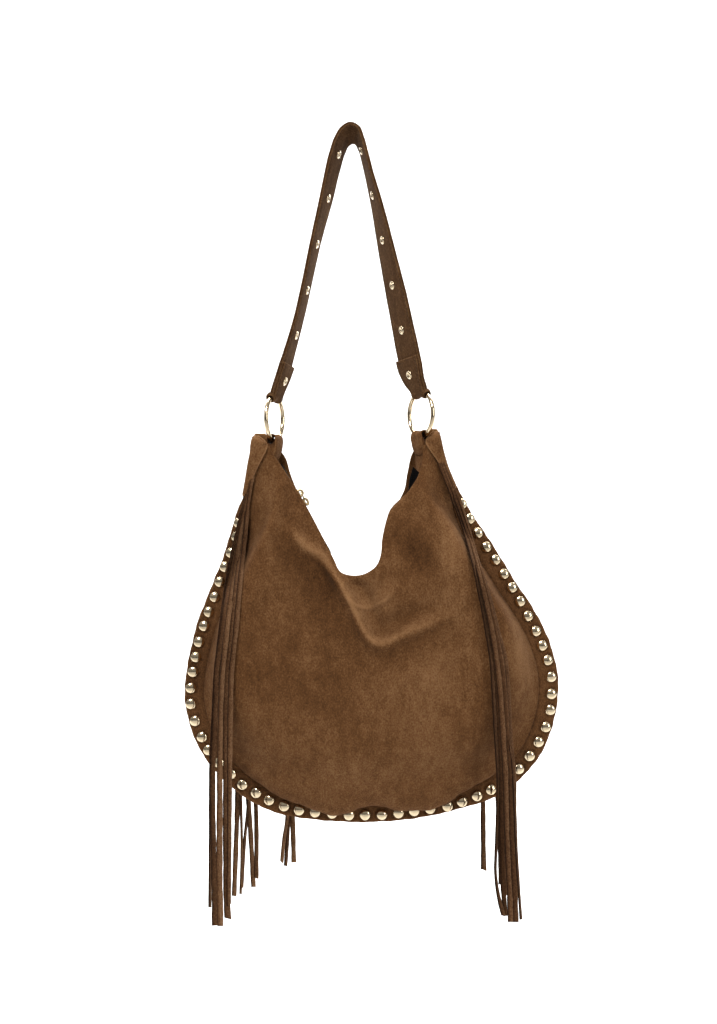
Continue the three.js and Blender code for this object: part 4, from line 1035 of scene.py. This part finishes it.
# ------------------------------------------------------------------ ring tabs
for k in RINGS:
    c, width, axis = ring_frame(k)
    yaw = abs(math.radians(RINGS[k][2]))
    shift = RING_R * math.sin(yaw) * math.sin(math.radians(SWING))

    def loop_of(pts, n=23, arc=25.0, swell=0.0):
        A = np.radians(np.linspace(-arc, arc, n))
        dirs = np.sin(A)[:, None] * width - np.cos(A)[:, None] * np.array([0, 0, 1.0])
        c0 = c + dirs * (RING_R - 0.3)
        f = 1 - 0.10 * smooth((np.abs(np.linspace(-1, 1, n)) - 0.75) / 0.25) * swell
        down = np.array([0, 0, -1.0])
        h = pts[:, 1]
        straight = smooth(h / 10.0)       # the legs hang straight down
        d = dirs[:, None, :] * (1 - straight)[None, :, None] + down * straight[None, :, None]
        return c0[:, None, :] + axis * (pts[None, :, 0, None] * f[:, None, None]) + d * (pts[None, :, 1, None] * f[:, None, None])

    def loop_outline(a, top, leg, foot):
        """A closed strap loop seen end on: round over the wire, legs down, drawn together below."""
        pts = [(a * math.cos(b), -top * math.sin(b)) for b in np.linspace(math.pi, 0, 17)]
        right = Curve([(a, 0), (a * 0.98, leg * 0.35), (a * 0.80, leg * 0.7), (foot, leg)]).at(np.linspace(0, 1, 9))[1:]
        left = right[::-1] * np.array([-1, 1])
        return np.array(pts + right.tolist() + left.tolist())

    slack = 0.35 * shift
    outer = loop_of(loop_outline(slack + RING_WIRE + 2.6, 5.3, 19.0, 2.6), swell=1.0)
    inner = loop_of(loop_outline(slack + RING_WIRE + 0.5, 3.3, 6.5, 0.15))
    n, m = outer.shape[:2]
    N = n * m
    soup = Soup()
    F = grid_faces(n, m, close_j=True) + grid_faces(n, m, N, flip=True, close_j=True)
    for j in range(m):
        j2 = (j + 1) % m
        F += [(j, j2, N + j2, N + j), ((n - 1) * m + j2, (n - 1) * m + j, N + (n - 1) * m + j, N + (n - 1) * m + j2)]
    tone = np.full((n, m), 0.08)
    tone[[0, -1]] = 0.26
    # the inside of the loop, round the wire, is painted in shade
    soup.add(np.vstack([outer.reshape(-1, 3), inner.reshape(-1, 3)]), F, np.concatenate([tone.ravel(), np.full(N, -0.35)]))
    # two layers going down into the ear
    z0 = c[2] - RING_R - 14.0
    rows = np.array([[0.0, 18, 1.7], [-6, 17.5, 1.7], [-12, 16, 1.7], [-20, 13, 1.7], [-27.6, 8, 1.7]])
    zz = np.linspace(0, -27.6, 22)
    ww = np.interp(-zz, -rows[:, 0], rows[:, 1])
    prof = [(-1, -0.55), (-0.97, -0.9), (-0.9, -1), (0, -1.03), (0.9, -1), (0.97, -0.9), (1, -0.55), (0.965, 0), (1, 0.55), (0.97, 0.9), (0.9, 1), (0, 1.03), (-0.9, 1),
            (-0.97, 0.9), (-1, 0.55), (-0.965, 0)]
    V = np.array([[[*(np.array([c[0], 0, z0 + z]) + width * (a * w_ / 2) + axis * (b * 1.7))] for a, b in prof] for z, w_ in zip(zz, ww)])
    mm_ = len(prof)
    F = grid_faces(len(zz), mm_, close_j=True) + [tuple(range(mm_))[::-1], tuple((len(zz) - 1) * mm_ + j for j in range(mm_))]
    tn = np.array([[0.1 if abs(a) > 0.95 and abs(b) > 0.4 else (-0.4 if abs(b) < 0.1 else 0.0) for a, b in prof]] * len(zz))
    soup.add(V.reshape(-1, 3), F, tn.ravel())
    ob = soup.make("ring_tab_suede_" + k, SUEDE, "bag", slot="suede")
    outward(ob)
    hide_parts("ring_tab_" + k)

# ------------------------------------------------------------------ ear flaps
FLAPS = {
    "left": [[436.5, 254.6, 259.0], [440, 253.8, 264], [445.5, 252.7, 268], [452, 252.2, 266.4], [461, 250.4, 261.6], [471, 248.6, 256.6],
             [481, 247.0, 251.8], [489, 245.6, 248.2], [495.5, 244.4, 245.4]],
    "right": [[432, 437.4, 432.6], [436, 438.2, 428.6], [442, 439.6, 425.2], [448, 440.8, 427.6], [455, 442.6, 432.4],
              [463, 445.0, 438.2], [471, 447.8, 443.4], [478, 450.8, 448.0], [484, 453.4, 451.8], [487.5, 454.6, 454.0]]}


def rounded_sheet(soup, P, T, tone, edge_tone=0.35, edge=0.45):
    """A sheet of thickness T round a grid of points, with rounded cut edges."""
    n, m = P.shape[:2]
    dU, dV = np.gradient(P, axis=0), np.gradient(P, axis=1)
    N = unit(np.cross(dU, dV))
    inset = np.zeros((n, m))
    inset[0], inset[-1], inset[:, 0], inset[:, -1] = 1, 1, 1, 1
    k = (1 - 0.45 * inset)[..., None]
    A, B = P + N * (T / 2) * k, P - N * (T / 2) * k
    # border loop
    loop = [(0, j) for j in range(m)] + [(i, m - 1) for i in range(1, n)] + [(n - 1, j) for j in range(m - 2, -1, -1)] + [(i, 0) for i in range(n - 2, 0, -1)]
    mid = []
    for (i, j) in loop:
        o = np.zeros(3)
        if i == 0: o -= unit(dU[i, j])
        if i == n - 1: o += unit(dU[i, j])
        if j == 0: o -= unit(dV[i, j])
        if j == m - 1: o += unit(dV[i, j])
        mid.append(P[i, j] + unit(o) * edge)
    V = np.vstack([A.reshape(-1, 3), B.reshape(-1, 3), np.array(mid)])
    NM = n * m
    F = grid_faces(n, m) + grid_faces(n, m, NM, flip=True)
    for q in range(len(loop)):
        q2 = (q + 1) % len(loop)
        a, b = loop[q][0] * m + loop[q][1], loop[q2][0] * m + loop[q2][1]
        F += [(a, b, 2 * NM + q2, 2 * NM + q), (NM + b, NM + a, 2 * NM + q, 2 * NM + q2)]
    tone = np.broadcast_to(tone, (n, m)).astype(float)
    e = edge_tone * inset
    soup.add(V, F, np.concatenate([(tone + e).ravel(), (tone + e - 0.05).ravel(), np.full(len(loop), edge_tone)]))


def resample(rows, n):
    rows = np.asarray(rows, float)
    c = Curve(rows)
    return c.at(np.linspace(0, 1, n))


HEAD_T = 1.4
for k, rows in FLAPS.items():
    rows = resample(rows, 34)
    out = []
    sgn = 1 if rows[2][2] > rows[2][1] else -1
    for (y, xo, xi) in rows:
        line = []
        for side in ("front", "back"):
            s = -1.0 if side == "front" else 1.0
            def dep(x):
                d = skin_at(side, x, y, 14.0, (-1.0, 0.0, 1.0))
                return max(d, 6.0) + 2.5
            if s > 0:
                xi = xi + sgn * 5.0 * smooth((470 - y) / 30)
            xs = [xi, lerp(xi, xo, 0.25), lerp(xi, xo, 0.5), lerp(xi, xo, 0.75), xo + sgn * 2.4]
            ds = [dep(x) for x in xs]
            half = [(x, s * d) for x, d in zip(xs, ds)]
            half += [(xo + sgn * 0.2, s * ds[-1] * 0.93), (xo - sgn * 0.9, s * ds[-1] * 0.66), (xo - sgn * 1.5, s * ds[-1] * 0.3)]
            line.append(half)
        pts = line[0] + [(xo - sgn * 1.6, 0.0)] + line[1][::-1]
        z = float(at(0, y, 0)[2])
        world_ = np.array([[float(at(x, y, 0)[0]), d, z] for x, d in pts])
        out.append(Curve(world_).at(np.linspace(0, 1, 56)))
    P = np.array(out)
    # the rear half stands a little higher, behind the ring's tab
    rise = 3.0 * smooth((np.arange(P.shape[1]) / (P.shape[1] - 1) - 0.56) / 0.2)[None, :] * smooth(1 - np.arange(P.shape[0]) / 16)[:, None]
    P[..., 2] += rise
    # smooth down the rows
    for _ in range(3):
        P[1:-1, :, 1] = 0.25 * P[:-2, :, 1] + 0.5 * P[1:-1, :, 1] + 0.25 * P[2:, :, 1]
    soup = Soup()
    rounded_sheet(soup, P, 1.6, 0.16, 0.42, 0.75)
    ob = soup.make("flap_" + k, SUEDE, "bag", slot="suede")
    outward(ob)
    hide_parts("ear_flap_" + k)

# ------------------------------------------------------------------ fringes
# Each strip: how deep it lies in the bundle, the slant of its cut end, and its height, centre and seen width on the way down.
FRINGES = {
    "fringe_front_left": ("front", 655, [
        (1, 0.3, [(474, 251, 2), (500, 245, 2.4), (540, 235.4, 2.6), (581, 227, 2.4), (628, 220.5, 2.2), (671, 215.3, 2), (720, 213, 1.8), (773, 210.8, 1.8), (850, 210, 1.6), (907.5, 210, 1.6)]),
        (0, -0.2, [(474, 251.6, 3), (500, 245.8, 3.5), (540, 237, 4), (581, 229.4, 4.2), (628, 222.8, 4.6), (671, 217, 4.6), (701, 215.6, 4.4), (740, 214, 4.6), (773, 212.9, 5.2), (842, 213.6, 5.6), (925.5, 214.6, 5.7)]),
        (2, 0.1, [(474, 252.2, 3), (500, 247, 3.6), (540, 239.5, 4.2), (581, 233.5, 4.6), (628, 227, 4.8), (671, 222.5, 4.8), (701, 221, 4.8), (740, 220.4, 5), (773, 219.6, 5.2), (842, 219.5, 5.7), (926, 220.2, 5.7)]),
        (0, 0.5, [(474, 252.8, 3), (500, 248, 3.4), (540, 242, 4), (581, 236.8, 4.6), (628, 231.5, 5), (671, 227.4, 5.2), (701, 226, 5.2), (740, 225.7, 5.4), (773, 225.7, 5.6), (842, 226, 5.8), (900, 226.6, 6.2), (918.5, 227.6, 6.6)]),
        (1, -0.3, [(474, 253.4, 2.6), (500, 248.6, 3), (540, 244.6, 3.6), (581, 240.2, 4.2), (628, 235.8, 4.6), (671, 231.4, 4.8), (701, 230.6, 4.8), (740, 230, 4.6), (773, 229.6, 4), (842, 229, 3.6), (905, 229, 3.4)])]),
    "fringe_front_right": ("front", 690, [
        (1, 0.4, [(459, 437.5, 2.2), (480, 445.5, 2.4), (499, 453.2, 2.6), (526, 462.8, 2.8), (566, 474, 3), (594, 479.8, 3), (628, 486.2, 3), (664, 491.8, 3), (700, 493.8, 3), (740, 495.6, 2.8), (775, 497.6, 2.4), (810, 497.4, 2.2), (850, 496.2, 2.2), (872, 495.6, 2.2), (890, 497.4, 2.6), (905, 500.4, 3.2), (915.5, 503.2, 3.6)]),
        (0, -0.3, [(459, 438.4, 2.6), (480, 446.6, 3), (499, 454.6, 3.2), (526, 464, 3.4), (566, 475.6, 3.8), (594, 481.8, 4), (628, 488.6, 4.2), (664, 493.4, 4.4), (700, 496.2, 4.6), (740, 498.4, 4.8), (775, 500.4, 4.8), (810, 501, 4.8), (850, 501.6, 4.8), (890, 503.6, 4.4), (916, 505.6, 3.6)]),
        (2, 0.2, [(459, 439.4, 2.6), (480, 447.8, 3), (499, 456, 3.2), (526, 465.4, 3.4), (566, 477, 3.8), (594, 484, 4.2), (628, 491.4, 4.6), (664, 497.3, 4.8), (700, 500.5, 5), (740, 503, 5.2), (775, 505.4, 5.2), (810, 506.4, 5.2), (850, 507.6, 5.2), (890, 509.2, 5.2), (922, 510.2, 5.4)]),
        (1, -0.1, [(459, 440.4, 2.6), (480, 449, 3), (499, 457.4, 3), (526, 466.6, 3.2), (566, 478.4, 3.6), (594, 486.4, 4), (628, 494.4, 4.4), (664, 501.6, 4.8), (700, 504.6, 5), (740, 507, 5.2), (775, 510, 5.4), (810, 511.2, 5.4), (850, 512.6, 5.4), (890, 514.4, 5.4), (922, 515.6, 5.6)]),
        (0, 0.3, [(459, 441.4, 2.4), (480, 450.2, 2.6), (499, 458.8, 2.6), (526, 467.6, 2.6), (566, 479.6, 3), (594, 488.4, 3.4), (628, 497, 3.6), (664, 505.6, 4.2), (700, 508.6, 4), (740, 510.6, 3.8), (775, 513.8, 3.8), (810, 514.8, 2.6), (850, 516.6, 2.2), (890, 519.2, 2), (919.5, 521, 2.2)])]),
    "fringe_rear_left": ("back", 655, [
        (1, 0.2, [(474, 251.2, 2.6), (500, 246, 3), (540, 238, 3.6), (600, 231.5, 4.4), (680, 232.5, 4.8), (760, 236, 5), (797, 237, 5), (850, 236, 4.6), (896, 234.3, 4.4)]),
        (0, -0.2, [(474, 251.8, 2.4), (500, 246.8, 2.6), (540, 240, 2.8), (600, 236, 3), (680, 238, 2.6), (760, 240.4, 2.4), (797, 241, 2.2), (850, 242, 2.2), (894, 240.4, 2)]),
        (2, 0.2, [(474, 252.4, 2.6), (500, 247.6, 3), (540, 242, 3.6), (600, 239.5, 4.4), (680, 242.5, 4.8), (760, 246, 4.8), (797, 248, 4.8), (850, 251.5, 4.8), (887, 253.8, 4.8)]),
        (1, 0.3, [(474, 252.9, 2.4), (500, 248.3, 2.8), (540, 244, 3.4), (600, 244, 4), (680, 248.5, 4.2), (760, 253.4, 4.2), (803, 255.6, 4.2), (850, 256.4, 4.2), (878, 256.4, 4.4)]),
        (0, -0.4, [(474, 253.2, 2.2), (500, 248.8, 2.4), (540, 246, 2.6), (600, 246.5, 2.8), (680, 248.5, 2.4), (760, 248.8, 2.2), (800, 248.6, 2), (835, 245.4, 2), (888, 241.8, 2)]),
        (0, 0.3, [(474, 253.4, 2.4), (500, 250.5, 2.8), (540, 252, 3.4), (600, 259, 3.6), (680, 270, 3.4), (760, 281, 3.2), (812, 287, 3), (840, 283.6, 3), (862, 281.6, 2.9)]),
        (1, 0.3, [(474, 253.7, 2.4), (500, 251.2, 2.8), (540, 254, 3.4), (600, 262, 3.6), (680, 273.5, 3.4), (760, 283.6, 3.2), (812, 288.3, 3), (840, 287.2, 3), (866, 285.3, 3)]),
        (2, -0.1, [(474, 254, 2.4), (500, 252, 3), (540, 256, 4), (600, 265, 4.6), (680, 277, 4.8), (760, 288, 4.8), (812, 292, 4.8), (840, 293, 4.8), (862.5, 293.6, 4.8)])]),
    "fringe_rear_right": ("back", 690, [
        (0, 0.9, [(459, 437.5, 2.4), (480, 443.5, 2.8), (510, 450, 3.6), (560, 458, 4.4), (640, 469.5, 5), (720, 477.5, 5.4), (775, 482, 5.4), (830, 483.4, 5.6), (870, 483.8, 6)]),
        (1, -0.3, [(459, 438.4, 2.6), (480, 445.2, 3), (510, 455.2, 3.6), (566, 470.5, 4.2), (640, 484, 4.8), (720, 492, 5), (800, 498, 5), (850, 500, 5), (884, 501, 5)]),
        (2, 0.2, [(459, 439.6, 2.6), (480, 446.6, 3), (510, 457.4, 3.6), (566, 473.5, 4.2), (640, 489, 4.8), (720, 498.2, 5), (800, 504, 5), (850, 506, 5), (895, 507, 5)]),
        (1, 0.2, [(459, 440.8, 2.6), (480, 448.2, 3), (510, 459.2, 3.6), (566, 476.6, 4.2), (640, 494, 4.8), (720, 504.4, 5), (800, 510, 5), (850, 512, 5), (890, 513.4, 5)]),
        (0, -0.2, [(459, 441.8, 2.6), (480, 449.6, 3), (510, 461, 3.6), (566, 479.4, 4.2), (640, 498, 4.8), (720, 508, 4.6), (800, 513, 4.4), (850, 515, 4), (893, 516, 4)])]),
}
STRIP_W, STRIP_T = 5.4, 1.25
SHEETS = {}


def make_strip(soup, side, hang, layer, slant, rows, seed):
    s = -1.0 if side == "front" else 1.0
    rows = np.asarray(rows, float)
    y = np.arange(rows[0][0], rows[-1][0], 5.0)
    y = np.r_[y, rows[-1][0]]
    c = Curve(np.stack([rows[:, 1], rows[:, 0]], -1))
    q = c.point(np.linspace(0, 1, 1200))
    x = np.interp(y, q[:, 1], q[:, 0])
    w = np.interp(y, rows[:, 0], rows[:, 2]) * 1.08
    rnd = hashed(8, seed)
    free = smooth((y - 560) / 120)
    x = x + 0.25 * free * np.sin(y / (21 + 9 * rnd[0]) + 6 * rnd[1])
    # depth: on the skin while it gets fuller, then straight down
    d = np.array([skin_at(side, x[i], min(y[i], hang), 20.0, (-w[i] / 2 - 0.6, 0.0, w[i] / 2 + 0.6)) for i in range(len(y))])
    d = np.maximum.accumulate(d)
    for _ in range(6):
        d[1:-1] = np.maximum(d[1:-1], 0.5 * d[1:-1] + 0.25 * (d[:-2] + d[2:]))
    for _ in range(3):
        d[1:-1] = 0.25 * d[:-2] + 0.5 * d[1:-1] + 0.25 * d[2:]
    spread = smooth((y - rows[0][0] - 14) / 90)
    lean = np.clip((STRIP_W - w) / STRIP_W, 0, 0.72)
    turn = np.arccos(np.clip(w / STRIP_W, 0.30, 1.0)) * smooth((y - rows[0][0] - 4) / 60)
    turn = np.maximum(turn, (0.34 + 0.22 * np.sin(y / (40 + 14 * rnd[5]) + 6 * rnd[2])) * smooth((y - rows[0][0] - 30) / 60))
    turn = turn * (1 if seed % 2 else -1)
    d = d + 0.55 + STRIP_T / 2 + layer * lerp(0.12, 1.55, spread) + np.abs(np.sin(turn)) * STRIP_W / 2 * 0.8
    d = d + free * 0.5 * (1 + np.sin(y / (33 + 10 * rnd[3]) + 5 * rnd[4]))
    real_w = np.where(y < rows[0][0] + 40, np.maximum(w, STRIP_W * 0.62), np.maximum(w, STRIP_W))
    P = at(x, y, s * d)
    T = unit(np.gradient(P, axis=0))
    Wd = unit(np.cross(T, np.array([0, -1.0, 0]) * s)) * (1 if s < 0 else 1)
    Wd = np.where((Wd[:, :1] < 0), -Wd, Wd)
    Nn = unit(np.cross(T, Wd))
    Wd2 = Wd * np.cos(turn)[:, None] + Nn * np.sin(turn)[:, None]
    Nn2 = unit(np.cross(T, Wd2))
    sec = [(-0.5, -0.25), (-0.47, -0.5), (-0.30, -0.5), (0, -0.54), (0.30, -0.5), (0.47, -0.5), (0.5, -0.25), (0.5, 0.25), (0.47, 0.5), (0.30, 0.5), (0, 0.46), (-0.30, 0.5), (-0.47, 0.5), (-0.5, 0.25)]
    # across each strip: painted shade along one edge, where it meets its neighbour, and a painted highlight along the
    # other
    tn = [-0.80, -0.66, -0.22, 0.06, 0.14, 0.28, 0.36, 0.36, 0.28, 0.14, 0.06, -0.22, -0.66, -0.80]
    m, n = len(sec), len(y)
    jit = 1 + 0.05 * np.sin(y / 7.0 + 9 * rnd[5]) + 0.04 * np.sin(y / 2.9 + 7 * rnd[6])
    V = np.zeros((n, m, 3))
    for j, (a, b) in enumerate(sec):
        cut = np.zeros(n)
        cut[-1] = slant * a * 4.0
        V[:, j] = P + Wd2 * (a * real_w * jit)[:, None] + Nn2 * (b * STRIP_T) + T * cut[:, None]
    # strips painted lighter and darker in turn, the right-hand bundles painted darker, and painted shade near the top
    # where the strips lie bunched under the flap
    shade = (0.14, -0.12, 0.20, -0.02, 0.10)[seed % 5] - (0.17 if hang > 670 else 0.0)
    tone = np.broadcast_to(np.array(tn)[None, :], (n, m)) * 0.8 + shade
    tone = tone - 0.10 * (1 - spread)[:, None]
    F = grid_faces(n, m, close_j=True) + [tuple(range(m))[::-1], tuple((n - 1) * m + j for j in range(m))]
    soup.add(V.reshape(-1, 3), F, tone.ravel())
    return float(np.linalg.norm(np.diff(P, axis=0), axis=1).sum())


for k, (name, (side, hang, strips)) in enumerate(FRINGES.items()):
    soup = Soup()
    length = 0.0
    for i, (layer, slant, rows) in enumerate(strips):
        make_strip(soup, side, hang, layer, slant, rows, 100 + 20 * k + i)
    ob = soup.make(name + "_strips", SUEDE_FRINGE, "bag", slot="suede")
    outward(ob)
    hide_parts(name)

# ------------------------------------------------------------------ zip slider and pull
def zip_at(x, y, z):
    x, y, z = (np.asarray(k, float)[..., None] for k in (x, y, z))
    return ZIP_A + ZIP_DIR * x + np.array([0, 1.0, 0]) * y + ZIP_UP * z


def plate(soup, outline, z0, z1, r=0.35):
    """A flat plate with softened edges."""
    pts = np.array(outline, float)
    d = unit(pts - pts.mean(0))
    rows = [zip_at(*(pts - d * r * k).T, z + 0 * pts[:, 0]) for z, k in ((z0, 1), (z0 + r * 0.3, 0.3), (z0 + r, 0), (z1 - r, 0), (z1 - r * 0.3, 0.3), (z1, 1))]
    m, n = len(pts), len(rows)
    soup.add(np.concatenate(rows), grid_faces(n, m, close_j=True) + [tuple(range(m))[::-1], tuple((n - 1) * m + j for j in range(m))], 0.0)


def wire(soup, line, side, rs, rt, closed):
    """A bent wire: line in the zip's frame, side the direction of its first radius."""
    c = zip_at(*np.asarray(line, float).T)
    n, m = len(c), 14
    d = np.gradient(c, axis=0)
    if closed:
        d = np.roll(c, -1, 0) - np.roll(c, 1, 0)
    d = unit(d)
    k = np.broadcast_to(side, d.shape)
    e = unit(np.cross(d, k))
    t = np.linspace(0, 2 * math.pi, m, endpoint=False)
    V = c[:, None, :] + rs * np.cos(t)[None, :, None] * k[:, None, :] + rt * np.sin(t)[None, :, None] * e[:, None, :]
    F = grid_faces(n, m, close_i=closed, close_j=True)
    if not closed:
        F += [tuple(range(m))[::-1], tuple((n - 1) * m + j for j in range(m))]
    soup.add(V.reshape(-1, 3), F, 0.0)


DEEP = np.array([0, 1.0, 0])
HALF = [(-4.6, -3.6), (-3.6, -4.2), (-2.4, -4.6), (0.6, -4.95), (3.6, -5.2), (4.5, -4.9), (4.8, -4.2), (4.8, -1.4)]
SHAPE = HALF + [(x, -y) for x, y in HALF[::-1]]
soup = Soup()
plate(soup, SHAPE, 1.0, 2.3)
plate(soup, SHAPE, -2.3, -1.0)
plate(soup, [(1.1, -1.1), (2.6, -1.1), (4.1, -1.1), (4.1, 1.1), (2.6, 1.1), (1.1, 1.1)], -1.4, 1.4, 0.1)
arch = np.linspace(math.pi, 0, 24)
wire(soup, [(3.1 * math.cos(q), 0, 2.0 + 3.3 * math.sin(q)) for q in arch], DEEP, 1.5, 1.12, False)
ob = soup.make("zip_slider_and_bail", GOLD_PULL, "zip_slider", slot="gold")
outward(ob)
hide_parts("zip_slider")
soup = Soup()
turn_ = np.linspace(0, 2 * math.pi, 48, endpoint=False)
wire(soup, [(3.2 + 3.4 * math.cos(q), 2.6 * math.sin(q), 3.45) for q in turn_], ZIP_UP, 0.66, 0.78, True)
wire(soup, [(10.4 + 3.4 * math.cos(q), 0, 3.45 + 1.7 * math.sin(q)) for q in turn_], DEEP, 1.3, 1.32, True)
ob = soup.make("zip_pull_links", GOLD_PULL, "zip_puller", slot="gold")
outward(ob)
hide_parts("zip_puller")
